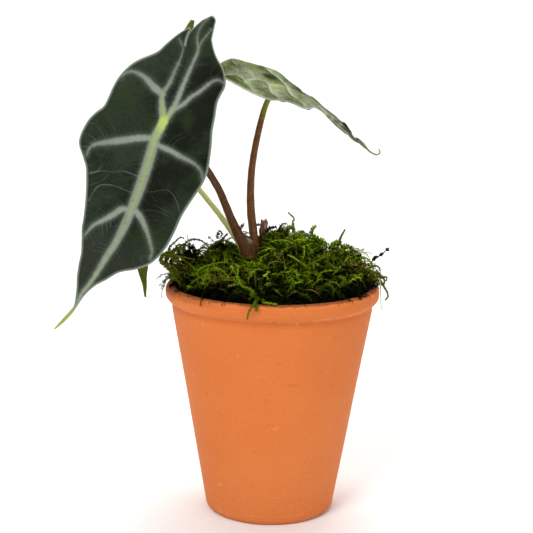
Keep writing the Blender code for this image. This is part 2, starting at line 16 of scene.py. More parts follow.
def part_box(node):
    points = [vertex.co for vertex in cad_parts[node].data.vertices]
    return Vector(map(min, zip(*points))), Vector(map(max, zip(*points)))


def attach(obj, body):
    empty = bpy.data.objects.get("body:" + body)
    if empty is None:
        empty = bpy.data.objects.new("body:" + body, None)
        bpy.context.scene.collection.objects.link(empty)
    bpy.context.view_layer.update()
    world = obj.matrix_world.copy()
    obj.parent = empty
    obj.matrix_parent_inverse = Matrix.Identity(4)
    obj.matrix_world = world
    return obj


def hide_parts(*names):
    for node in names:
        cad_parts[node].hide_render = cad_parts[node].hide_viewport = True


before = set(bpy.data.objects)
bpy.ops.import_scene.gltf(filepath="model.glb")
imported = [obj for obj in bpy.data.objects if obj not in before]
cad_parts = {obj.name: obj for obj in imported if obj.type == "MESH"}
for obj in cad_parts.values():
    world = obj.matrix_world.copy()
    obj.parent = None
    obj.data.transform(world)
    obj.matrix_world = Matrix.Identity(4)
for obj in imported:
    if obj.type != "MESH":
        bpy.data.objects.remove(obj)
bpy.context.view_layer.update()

MM = 0.001
pot_low, pot_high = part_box("pot")
AXIS_X = (pot_low.x + pot_high.x) / 2.0
AXIS_Y = (pot_low.y + pot_high.y) / 2.0
AXIS = np.array([AXIS_X, AXIS_Y, 0.0])
TINY = 1e-9
CURVE_STEPS = 16


# Meshes

def new_object(name, spots, faces, skin, smooth=True):
    """A new object from points in metres."""
    mesh = bpy.data.meshes.new(name)
    mesh.from_pydata(np.asarray(spots).tolist(), [], np.asarray(faces).tolist())
    mesh.materials.append(skin)
    mesh.polygons.foreach_set("use_smooth", [smooth] * len(mesh.polygons))
    made = bpy.data.objects.new(name, mesh)
    bpy.context.scene.collection.objects.link(made)
    return made


def mesh_piece(name, points, faces, skin, values=None, smooth=True):
    """A new object from points in millimetres about the pot's axis."""
    piece = new_object(name, np.asarray(points, float) * MM + AXIS, faces, skin, smooth)
    for key, numbers in (values or {}).items():
        layer = piece.data.attributes.new(key, "FLOAT", "POINT")
        layer.data.foreach_set("value", np.asarray(numbers, np.float32))
    return piece


def finish_piece(piece, slot, *nodes):
    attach(piece, "root")
    if nodes:
        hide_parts(*nodes)


def catmull(points, where):
    """Catmull-Rom curve through rows of numbers, read at fractional row numbers."""
    rows = np.asarray(points, float)
    ends = np.vstack([2 * rows[0] - rows[1], rows, 2 * rows[-1] - rows[-2]])
    where = np.asarray(where, float)
    base = np.clip(np.floor(where).astype(int), 0, len(rows) - 2)
    t = (where - base)[:, None]
    a, b, c, d = (ends[base + k] for k in range(4))
    return 0.5 * (2 * b + (c - a) * t + (2 * a - 5 * b + 4 * c - d) * t ** 2
                  + (3 * b - a - 3 * c + d) * t ** 3)


def run_along(points):
    """How far along a line of points each of them lies."""
    steps = np.linalg.norm(np.diff(points, axis=0), axis=1)
    return np.concatenate([[0.0], np.cumsum(steps)])


def even(points, count, measured=3):
    """The curve through the points in count evenly spaced rows."""
    fine = np.linspace(0.0, len(points) - 1.0, len(points) * CURVE_STEPS)
    along = run_along(catmull(points, fine)[:, :measured])
    return catmull(points, np.interp(np.linspace(0.0, along[-1], count), along, fine))


def unit(vectors):
    return vectors / (np.linalg.norm(vectors, axis=-1, keepdims=True) + TINY)


def ring_quads(rings, sides, closed=False):
    """Quads between rings of points, and from the last ring to the first if closed."""
    here = np.arange(sides)
    beside = (here + 1) % sides
    low = (np.arange(rings) * sides)[:, None]
    high = np.roll(low, -1, axis=0)
    if not closed:
        low, high = low[:-1], high[:-1]
    return np.stack([low + here, high + here, high + beside, low + beside], -1).reshape(-1, 4)


def tube(path, radii, sides, start=(1.0, 0.2, 0.1)):
    """Points and quads of an open tube."""
    path = np.asarray(path, float)
    tangent = unit(np.gradient(path, axis=0))
    start = np.asarray(start, float)
    first = unit(start - (tangent @ start)[:, None] * tangent)
    second = np.cross(tangent, first)
    turn = np.arange(sides) * math.tau / sides
    radii = np.asarray(radii, float)
    radii = radii[:, None] * np.ones(sides) if radii.ndim == 1 else radii
    around = (np.cos(turn)[None, :, None] * first[:, None, :]
              + np.sin(turn)[None, :, None] * second[:, None, :])
    points = (path[:, None, :] + radii[..., None] * around).reshape(-1, 3)
    return points, ring_quads(len(path), sides)[:, [0, 3, 2, 1]]


def polar(radius, turn):
    return radius * math.cos(turn), radius * math.sin(turn)


def lumps(x, y, z):
    """Smooth random height between about -1 and 1."""
    return noise.noise(Vector((x, y, z)))


def held(number, least=0.0, most=1.0):
    return min(most, max(least, number))


# Materials

SHEEN_ROUGHNESS = 0.45


def srgb(*rgb):
    """A colour given in 0 to 255 steps, as a shader wants it."""
    return tuple(((c / 255 + 0.055) / 1.055) ** 2.4 if c > 10 else c / 3294.6 for c in rgb) + (1.0,)


def tinted(colour, factor):
    return tuple(factor * c for c in colour[:3]) + (1.0,)


class Term:
    """A value inside a material. Arithmetic signs make new values of it."""

    def __init__(self, skin, socket):
        self.skin = skin
        self.socket = socket

    def __add__(self, other):
        return self.skin.math("ADD", self, other)

    def __sub__(self, other):
        return self.skin.math("SUBTRACT", self, other)

    def __rsub__(self, other):
        return self.skin.math("SUBTRACT", other, self)

    def __mul__(self, other):
        return self.skin.math("MULTIPLY", self, other)

    def __truediv__(self, other):
        return self.skin.math("DIVIDE", self, other)

    def __pow__(self, other):
        return self.skin.math("POWER", self, other)

    def __abs__(self):
        return self.skin.math("ABSOLUTE", self)

    def clamped(self):
        self.socket.node.use_clamp = True
        return self

    def ramp(self, low, high, to_low=0.0, to_high=1.0):
        """Goes softly from to_low to to_high as the value goes from low to high."""
        return self.skin.add("ShaderNodeMapRange", "Result", [
            ("Value", self), ("From Min", low), ("From Max", high), ("To Min", to_low),
            ("To Max", to_high)], interpolation_type="SMOOTHSTEP")


class Skin:
    """A procedural material, built up with short calls."""

    def __init__(self, name, roughness, specular=0.4, sheen=0.0, sheen_tint=(1, 1, 1, 1)):
        self.material = bpy.data.materials.new(name)
        self.material.use_nodes = True
        self.tree = self.material.node_tree
        self.inputs = self.tree.nodes["Principled BSDF"].inputs
        for socket, value in (("Roughness", roughness), ("Specular IOR Level", specular),
                              ("Sheen Weight", sheen), ("Sheen Tint", sheen_tint),
                              ("Sheen Roughness", SHEEN_ROUGHNESS)):
            self.inputs[socket].default_value = value
        self.place = self.add("ShaderNodeTexCoord", "Object")

    def add(self, kind, output, feeds=(), **settings):
        made = self.tree.nodes.new(kind)
        for key, value in settings.items():
            setattr(made, key, value)
        for socket, value in feeds:
            self.feed(made.inputs[socket], value)
        return Term(self, made.outputs[output])

    def feed(self, socket, value):
        if isinstance(value, Term):
            self.tree.links.new(value.socket, socket)
        else:
            socket.default_value = value

    def read(self, name):
        return self.add("ShaderNodeAttribute", "Fac", attribute_name=name)

    def math(self, operation, a, b=0.0):
        return self.add("ShaderNodeMath", 0, [(0, a), (1, b)], operation=operation)

    def vector(self, x, y, z=0.0):
        return self.add("ShaderNodeCombineXYZ", 0, [(0, x), (1, y), (2, z)])

    def split(self, vector):
        node = self.add("ShaderNodeSeparateXYZ", 0, [(0, vector)]).socket.node
        return [Term(self, socket) for socket in node.outputs]

    def noise(self, scale, detail=3.0, rough=0.55, where=None, stretch=None):
        where = where or self.place
        if stretch:
            where = self.add("ShaderNodeMapping", 0, [("Vector", where), ("Scale", stretch)])
        return self.add("ShaderNodeTexNoise", "Fac", [
            ("Vector", where), ("Scale", scale), ("Detail", detail), ("Roughness", rough)])

    def cells(self, scale):
        return self.add("ShaderNodeTexVoronoi", "Distance",
                        [("Vector", self.place), ("Scale", scale)])

    def mix(self, factor, a, b, blend="MIX"):
        return self.add("ShaderNodeMix", 2, [(0, factor), (6, a), (7, b)], data_type="RGBA",
                        blend_type=blend)

    def colours(self, value, *stops):
        """Colours along a value, each stop a place and three steps from 0 to 255."""
        made = self.add("ShaderNodeValToRGB", "Color", [("Fac", value)])
        band = made.socket.node.color_ramp
        while len(band.elements) < len(stops):
            band.elements.new(0.5)
        for element, (at, *rgb) in zip(band.elements, stops):
            element.position = at
            element.color = srgb(*rgb)
        return made

    def done(self, colour, roughness=None, height=None, distance=0.0002, strength=0.6):
        self.feed(self.inputs["Base Color"], colour)
        if roughness is not None:
            self.feed(self.inputs["Roughness"], roughness)
        if height is not None:
            self.feed(self.inputs["Normal"], self.add("ShaderNodeBump", "Normal", [
                ("Height", height), ("Strength", strength), ("Distance", distance)]))
        return self.material


# Blades

# Rows of midrib, left margin and right margin, each a place across and down from the point
# where the stalk meets the blade. Rows of a lobe have its inner and its outer margin.
LARGE_RIBS = [
    -8.6, -36.1, -18.6, -27, 5.3, -40.2, -7.7, -32, -24.4, -20, 9.2, -37.4,
    -6.6, -28, -27.5, -14.3, 12.9, -35.3, -5.4, -22.5, -29, -8.4, 16, -32,
    -4.1, -17.6, -29.1, -3.1, 18, -28.1, -3, -12, -28.6, 3.3, 18.2, -22.9,
    -2.1, -8, -28.8, 7.5, 18.7, -19.1, 0, 0, -31, 11.5, 21, -13.4,
    0.1, 4.2, -32.6, 16.1, 22.9, -7.5, 0.3, 9.6, -32.9, 21.1, 25.2, -2,
    1.2, 13.9, -32.2, 26.5, 27.5, 3.9, 2.8, 21.6, -30.4, 30.2, 30, 11.9,
    4.1, 29.6, -26.7, 34, 30.6, 18.6, 5.2, 38.2, -22.8, 38, 29.6, 28.4,
    5.9, 45.5, -19.1, 44.4, 28.9, 36, 6.4, 52.9, -16, 51.3, 29.5, 45.5,
    6.4, 59, -13.3, 59.5, 29.2, 54, 6.1, 65, -11.6, 65, 26.6, 62.6, 5.6, 70, -9, 70, 21.4, 69,
    5.1, 75, -6.5, 75.2, 14.5, 74.8, 4.5, 81, -5, 81.1, 10.4, 81.2, 3.8, 87, -3.3, 86.9, 6.6, 87,
    2.6, 93.5, -0.7, 93.5, 4.2, 93.4, 2.1, 100.5, 1.3, 100.3, 3, 101,
    1.6, 104.7, 0.8, 104.4, 2.4, 105, -0.15, 110.8, -1, 110.6, 0.7, 110.9,
    -2.2, 116.6, -2.5, 116.5, -1.9, 116.7]
LARGE_LEFT_LOBE = [
    -10.3, -44.6, -11.2, -44.4, -10.1, -41.5, -14, -38.9, -9.4, -38.2, -16.6, -32.4]
LARGE_RIGHT_LOBE = [
    -4.8, -54.5, -3.4, -54.7, -6.4, -52.2, -1.6, -53.4, -7.8, -49.8, -0.8, -51.1,
    -9.5, -44.6, 0.7, -46.5, -9.8, -41, 1.7, -44.1]
# The small blades, full size: how far down the midrib, then the left and right margins
RIGHT_MARGINS = [
    -32, -18, -40, 20, -40, -27, -24, -32, 27, -32, -20, -29, -22, 32, -22,
    -10, -28, -10, 33.5, -10, 0, -28.8, 0, 33.8, 0, 10, -27.8, 11, 31.8, 12, 20, -22.8, 21, 27, 22,
    27, -16.2, 27.5, 22.2, 28.5, 34, -9.6, 34.5, 20.8, 35, 40, -4.9, 40, 21.2, 40.5,
    44, -2.4, 44, 19, 44.5, 47, -2.4, 47, 14.4, 47.3, 50, -5.6, 50, 9.8, 50.3,
    53, -8.4, 53, 8.2, 53.2, 58, -9.4, 58, 8.6, 58, 64, -9.2, 64, 8.6, 64, 71, -8.4, 71, 7.4, 71.5,
    77, -7.4, 77.5, 9.8, 77, 82, -6.4, 82.5, 5.2, 82.5, 87, -5.4, 87, 1.6, 87, 91, -4, 91, 0.9, 91,
    96, -2.4, 96, 0.7, 96, 100, -1.4, 100, 0.6, 100, 106, -0.7, 106, 0.5, 106]
REAR_MARGINS = [
    -32, -18, -40, 15, -38.5, -27, -24, -32, 22, -31.5, -20, -29, -22, 28.5, -22,
    -10, -31, -10, 31, -10, 0, -32, 0, 32, 0, 10, -31, 12, 31, 12, 24, -29, 25, 29, 25,
    37, -25.5, 38, 25.5, 38, 49, -21, 50, 21, 50, 61, -16, 62, 16, 62, 73, -10, 74, 12, 74,
    85, -2.6, 85, 10.2, 85, 94, 0.2, 94, 8.8, 94, 100, 0.3, 100, 7.2, 100,
    105, 0.2, 105, 4.8, 105.2, 110, 0, 110, 2.4, 110.2, 117, -0.6, 116.8, 0.3, 117]
SMALL_LOBE = [
    7.2, -51.6, 8.8, -51.6, 3.5, -44.5, 13, -47, 1, -37.5, 16, -43.5]
REAR_RIGHT_LOBE = [
    5.6, -53, 7, -53, 3.2, -45.5, 9.4, -47, 1, -37.5, 12, -42.5]

# Pale ribs: places across and down, then half widths of the pale band along them. Thin
# veins have places only.
LARGE_VEINS = {
    "midrib": ([0, 0, 0.1, 4.2, 0.2, 9.6, 1.2, 13.9, 2.8, 21.6, 4.1, 29.6, 5.2, 38.2, 5.9, 45.5,
        6.4, 52.9, 6.3, 63.1, 5.5, 69.4, 4.9, 76.5, 4.3, 83.2, 3.5, 88.6, 2.4, 93.4, 2.5, 100.8,
        1.5, 105.4, -0.8, 111.4, -2.2, 116.6], (2.3, 2.7, 2.7, 2.3, 1.8, 1.3, 0.9, 0.5)),
    "lobe_left": ([0, 0, -4.3, -6.2, -6.6, -10.9, -6.2, -16.7, -6.9, -23.7, -7.4, -29.2,
        -8.7, -34.2, -10.5, -36.1, -12.5, -37.7], (2, 1.9, 1.2, 0.95, 0.75, 0.55, 0.3, 0.2)),
    "lobe_right": ([0, 0, 0.7, -3.7, 1.2, -8.8, 0.3, -16.6, -0.5, -24, -1.1, -31.1, -1.8, -36.8,
        -5.1, -42, -6.2, -46.1, -6.1, -49.4, -5.4, -52.7], (1.9, 1.7, 1.3, 1, 0.8, 0.6, 0.15, 0.1)),
    "lobe_branch": ([-1.8, -36.8, -2.4, -40.6, -1.9, -44.2, -1.3, -48.2], (0.5, 0.3, 0.15)),
    "left_upper": ([-6.6, -10.9, -11.4, -11.8, -16.5, -13.5, -21, -14, -24.8, -13.3, -27.2, -10.8,
        -27.5, -8.7], (1.8, 1.8, 1.5, 1, 0.7, 0.4)),
    "left_middle": ([-0.4, 9.4, -6.7, 12.8, -11.2, 16.1, -15.7, 19.3, -20.4, 22.7, -23.7, 25.3,
        -25.5, 28.3, -25.5, 32.1], (1.6, 1.65, 1.7, 1.7, 1.4, 0.9, 0.5)),
    "left_lower": ([5.6, 45.4, 1.7, 46.7, -0.9, 51.4, -4, 56, -7, 60.2, -8.3, 64.3, -8.8, 66.8],
        (1.5, 1.6, 1.5, 1.2, 0.9, 0.5)),
    "right_upper": ([1.4, -6.6, 4.5, -11.5, 6.1, -16.1, 8.3, -19.9, 10, -24.2, 11.8, -27.7,
        13.8, -29.3, 15.7, -29.3], (1.3, 1.2, 1.1, 0.9, 0.7, 0.4)),
    "right_middle": ([2, 11.2, 4.5, 11.3, 9.8, 10.8, 14.8, 10.9, 21.7, 10.7, 26.7, 12.2,
        29.4, 15.2], (1.4, 1.3, 1.3, 1.05, 0.7, 0.4)),
    "right_lower": ([7.4, 44.1, 11.4, 45.8, 14.8, 48.2, 18.7, 51.5, 22.3, 55.3, 24.4, 58,
        24.9, 61.1], (1.7, 1.6, 1.3, 1, 0.8, 0.5)),
}
LARGE_THIN = [
    [2.1, 28.9, -5.9, 30.2, -10.2, 33.1, -14.5, 34.7, -19.6, 38.7],
    [2.4, 37.5, -2, 37.8, -5.9, 38.3, -10.2, 39.8, -13.2, 42.3, -14, 45.6, -14.3, 50.8],
    [8.1, 33.9, 11.6, 31.8, 15.5, 28.6, 18.4, 27.9, 21.6, 29, 24.6, 31.3, 26.8, 34],
]
SMALL_VEINS = {
    "midrib": ([0, 0, 0, 20, 0, 45, 0, 70, 0, 95, 0, 117], (2.2, 2.3, 1.9, 1.4, 0.8, 0.4)),
    "lobe_right": ([0, 0, 2.2, -8, 3, -18, 3.4, -28, 5.6, -38, 7.8, -48],
        (1.9, 1.5, 1.2, 0.9, 0.5)),
    "right_upper": ([2.6, -12, 9, -19, 16, -26, 22, -30, 25, -29], (1.4, 1.3, 1, 0.4)),
    "right_middle": ([0, 5, 8, 7, 17, 11, 25, 17, 29, 23], (1.6, 1.5, 1.1, 0.5)),
    "right_lower": ([0, 33, 7, 37, 14, 43, 18, 49, 19.5, 54], (1.5, 1.3, 0.9, 0.4)),
    "right_last": ([0, 60, 5, 64, 8.5, 70, 10, 76], (0.9, 0.7, 0.4)),
}
SMALL_THIN = [
    [1, 20, 9, 21, 18, 24, 26, 30],
    [1, 47, 7, 50, 12, 55, 15, 61],
    [1, -3, 12, -6, 22, -12, 29, -17],
]
RIGHT_VEINS = {
    "midrib": ([1.5, 0, 3.2, 6, 3.2, 13, 3.6, 20, 4.4, 30, 4, 38, 2.5, 45, 0.5, 55, 0, 70, -0.4, 95,
        0, 106], (2, 2.4, 2.2, 1.5, 0.9, 0.4)),
    "lobe_right": ([1.5, 0, 3.7, -6, 6.4, -15, 2.2, -25, 4.6, -30, 6, -34, 4.4, -39],
        (1.7, 1.2, 1, 0.8, 0.4)),
    "right_upper": ([2.6, -2, 4.6, -6.5, 6, -10.4, 9.8, -14.5, 16.7, -18.3, 20.5, -22.6, 24.8, -26],
        (1.4, 1.2, 1.1, 1, 0.5)),
    "left_upper": ([2.2, -22, -1, -27, -9.1, -30.2, -13, -28.4, -20.5, -27.9],
        (0.9, 1.1, 1.2, 1, 0.5)),
    "left_first": ([2.6, -4, -6, -7, -14, -9, -22, -9, -28, -6], (1, 1, 0.9, 0.7, 0.3)),
    "right_middle": ([3.4, 17, 6.4, 15.6, 14, 14.5, 21, 12.2, 25, 8.5, 31, 6.5],
        (1.6, 2.2, 2.4, 2.2, 1.6, 0.8)),
    "left_middle": ([3, 11, -0.5, 12.6, -10.5, 12.4, -16.2, 13.8, -21.5, 17.1, -22.6, 21],
        (1.4, 1.8, 1.8, 1.6, 0.9)),
    "right_lower": ([4.4, 29, 9, 33, 15, 38, 19, 42.5], (1, 0.9, 0.7, 0.3)),
    "tip_left": ([2.4, 46, -3, 54, -6.5, 62, -8, 72], (0.8, 0.8, 0.6, 0.3)),
}
RIGHT_THIN = [
    [0, 16, -8, 19, -15, 24],
    [2, 3, -9, 2, -19, 4, -27, 6],
    [5, -9, 13, -6, 22, -8, 30, -9],
    [4, 24, 12, 23, 20, 27],
]


def mirrored(numbers):
    """Places across and down on the other side of the midrib."""
    return np.reshape(numbers, (-1, 2)) * (-1, 1)


def both_sides(half):
    """The veins of one half with their mirror images."""
    whole = dict(half)
    for name, (points, widths) in half.items():
        if name != "midrib":
            whole[name + "_mirrored"] = (mirrored(points), widths)
    return whole


def with_midrib(margins, bow=0.0):
    """Rows of middle, left and right points, the midrib bowed sideways before the tip."""
    rows = np.reshape(margins, (-1, 5))
    bowed = np.interp(rows[:, 0], (80.0, 94.0, 117.0), (0.0, bow, 0.0))
    return np.column_stack([bowed, rows])


BLADES = {
    "leaf_large": {
        "outline": (LARGE_RIBS, LARGE_LEFT_LOBE, LARGE_RIGHT_LOBE), "scale": 1.0,
        "veins": LARGE_VEINS, "thin": LARGE_THIN, "rows": 340, "lobe_rows": 56, "columns": 44,
        "junction": (-52.8, -38.0, 204.4), "face": (-0.10, -0.98, 0.12),
        "down": (-0.462, -0.061, -0.885), "bend_tip": 0.0009, "bend_lobe": 0.0020,
        "curl": 0.0, "fold": 0.13, "cup": 0.0036, "furrow": 1.5, "wave": 0.9,
        "wave_turns": 5.0, "quilt": 0.55, "twist": (0.0, 40.0, 60.0), "shade_patches": [],
    },
    "leaf_right": {
        "outline": (with_midrib(RIGHT_MARGINS), mirrored(SMALL_LOBE), SMALL_LOBE),
        "scale": 0.675,
        "veins": RIGHT_VEINS, "thin": RIGHT_THIN, "rows": 250, "lobe_rows": 36,
        "columns": 32, "junction": (-0.1, 2.0, 219.8), "face": (0.371, -0.248, 0.895),
        "down": (0.833, 0.514, -0.203), "bend_tip": 0.00737, "bend_lobe": -0.0011,
        "curl": 0.0000403, "fold": -0.119, "cup": -0.0080, "furrow": 0.8, "wave": 0.6,
        "wave_turns": 4.0, "quilt": 1.7, "twist": (0.17, 42.0, 60.0),
        # painted shade: dark pockets of the puckered blade, each across, down, width, height and
        # darkness
        "shade_patches": [(14, 1.5, 4.6, 7, 1.0), (20, -25, 4, 5, 0.9), (-4, -33.5, 7, 3.2, 0.75),
                    (-2, -15, 4, 8, 0.4), (-27, -8, 4, 13, 0.5), (10, 28, 3.4, 6, 0.85),
                    (25, -8, 5, 9, 0.45), (19, 22, 7, 6, 0.5), (2.8, 65, 2, 4, 0.5),
                    (8.0, 77, 2.2, 4.4, 1.0), (3.8, 91.5, 1.4, 3, 1.0), (16, 42, 3.2, 4, 0.8),
                    (11, 47, 2.0, 3, 0.5)],
    },
    "leaf_rear": {
        "outline": (with_midrib(REAR_MARGINS, 1.7), mirrored(SMALL_LOBE), REAR_RIGHT_LOBE),
        "scale": 0.844, "veins": both_sides(SMALL_VEINS),
        "thin": SMALL_THIN + [mirrored(line) for line in SMALL_THIN],
        "rows": 250, "lobe_rows": 36, "columns": 32, "junction": (-53.6, 12.0, 208.0),
        "face": (-0.904, 0.387, 0.182), "down": (-0.219, -0.053, -0.974), "bend_tip": 0.0010,
        "bend_lobe": 0.0014, "curl": 0.0, "fold": 0.064, "cup": 0.0020, "furrow": 0.8,
        "wave": 0.8, "wave_turns": 4.0, "quilt": 0.5, "twist": (0.42, 72.0, 96.0),
        "shade_patches": [],
    },
}
# Half thickness of a blade, and how far and over what width its margin thins out
BLADE_HALF = 0.30
THINNING, THINNING_WIDTH = 0.55, 1.2
# Depth or height and width of what runs along the veins
KEEL, KEEL_WIDTH = 0.95, 2.2
RIDGE, RIDGE_WIDTH = 0.45, 1.1
GROOVE, GROOVE_WIDTH = 0.22, 1.8
FURROW_RUN, FURROW_WIDTH = 14.0, 2.0
# The quilting swells away from veins and margin, the wave grows with the blade's breadth
SWELL_WIDTH, SWELL_MARGIN = 3.2, 4.0
RIPPLE, RIPPLE_SIZE = 0.45, (9.0, 7.0)
WAVE_BREADTH = 12.0
EVEN_SHARE, CROWDED_SHARE = 0.55, 0.45
MIDRIB_STEPS, VEIN_STEPS = 600, 6
FAR_OFF = 1e9
VEIN_STRIDE = 53.0
# Half width of the green heart along the midrib, and where it ends in the lobes
MIDRIB_HEART = ((0, 4, 9, 18, 45, 52, 70, 116), (2.2, 1.8, 1.4, 1.1, 0.9, 0.5, 0.35, 0.1))
LOBE_HEART_ENDS = {"lobe_left": 17.0, "lobe_right": 10.0, "lobe_right_mirrored": 10.0}


def frame_from(normal, down):
    """Side, length and face directions of a blade."""
    face = np.array(normal, float)
    face /= np.linalg.norm(face)
    length = np.array(down, float)
    length -= (length @ face) * face
    length /= np.linalg.norm(length)
    return np.cross(face, length), length, face


def near_path(spots, path):
    """Distance, side, way along and overshoot of spots from a path, and its length."""
    best = np.full(len(spots), FAR_OFF)
    side, along, over = (np.zeros(len(spots)) for _ in range(3))
    travelled = 0.0
    for index in range(len(path) - 1):
        a, span = path[index], path[index + 1] - path[index]
        length = float(np.linalg.norm(span)) + TINY
        raw = ((spots - a) @ span) / length ** 2
        share = np.clip(raw, 0.0, 1.0)
        gap = spots - a - share[:, None] * span
        far = np.linalg.norm(gap, axis=1)
        closer = far < best
        best[closer] = far[closer]
        side[closer] = np.sign(span[0] * gap[:, 1] - span[1] * gap[:, 0])[closer]
        along[closer] = travelled + share[closer] * length
        past = np.zeros(len(spots))
        if index == 0:
            past = np.maximum(past, -raw * length)
        if index == len(path) - 2:
            past = np.maximum(past, (raw - 1.0) * length)
        over[closer] = past[closer]
        travelled += length
    return best, side, along, over, travelled


def blade_fields(leaf, flat, edge_path):
    """For each spot of the flat blade: where it lies among the ribs, thin veins and margin."""
    scale = leaf["scale"]
    nearest, second, rib, core = (np.full(len(flat), FAR_OFF) for _ in range(4))
    along, way, shown, pocket_shade = (np.zeros(len(flat)) for _ in range(4))
    for number, (name, (points, widths)) in enumerate(leaf["veins"].items()):
        points = np.reshape(points, (-1, 2)) * scale
        far, _, run, _, length = near_path(flat, even(points, VEIN_STEPS * len(points), 2))
        width = np.interp(run / length, np.linspace(0, 1, len(widths)), widths) * scale
        closer = far < nearest
        second = np.where(closer, nearest, np.minimum(second, far))
        nearest = np.where(closer, far, nearest)
        along = np.where(closer, run + VEIN_STRIDE * number, along)
        rib = np.minimum(rib, far - width)
        if name == "midrib":
            core = np.minimum(core, far - np.interp(run / scale, *MIDRIB_HEART) * scale)
            way = run / length
        elif name in LOBE_HEART_ENDS:
            ends = LOBE_HEART_ENDS[name]
            inner = np.interp(run / scale, (0, 3, 0.75 * ends, ends), (2.1, 1.0, 0.45, -0.9))
            core = np.minimum(core, far - inner * scale)
            way = np.where(flat[:, 1] < 0.0, np.maximum(way, 0.018 * run / scale), way)
    thin = np.full(len(flat), 9.0)
    for points in leaf["thin"]:
        points = np.reshape(points, (-1, 2)) * scale
        far, side, _, over, _ = near_path(flat, even(points, VEIN_STEPS * len(points), 2))
        closer = far < np.abs(thin)
        thin = np.where(closer, far * side, thin)
        reach = np.clip(1.6 - far, 0.0, 0.6) / 0.6 * np.clip(1.0 - over, 0.0, 1.0)
        shown = np.where(closer, reach, shown)
    # Painted shade: dark pockets where the puckered blade lies in shadow.
    for u, v, wide, tall, depth in leaf["shade_patches"]:
        gap = ((flat[:, 0] / scale - u) / wide) ** 2 + ((flat[:, 1] / scale - v) / tall) ** 2
        pocket_shade = np.maximum(pocket_shade, depth * np.minimum(1.0, 1.5 * np.exp(-gap)))
    return {"rib": rib, "along": along, "away": nearest, "core": core, "way": way,
            "thin": thin, "shown": shown, "edge": near_path(flat, edge_path)[0],
            "fade": np.clip((second - nearest) / 1.5, 0.0, 1.0), "pocket_shade": pocket_shade}


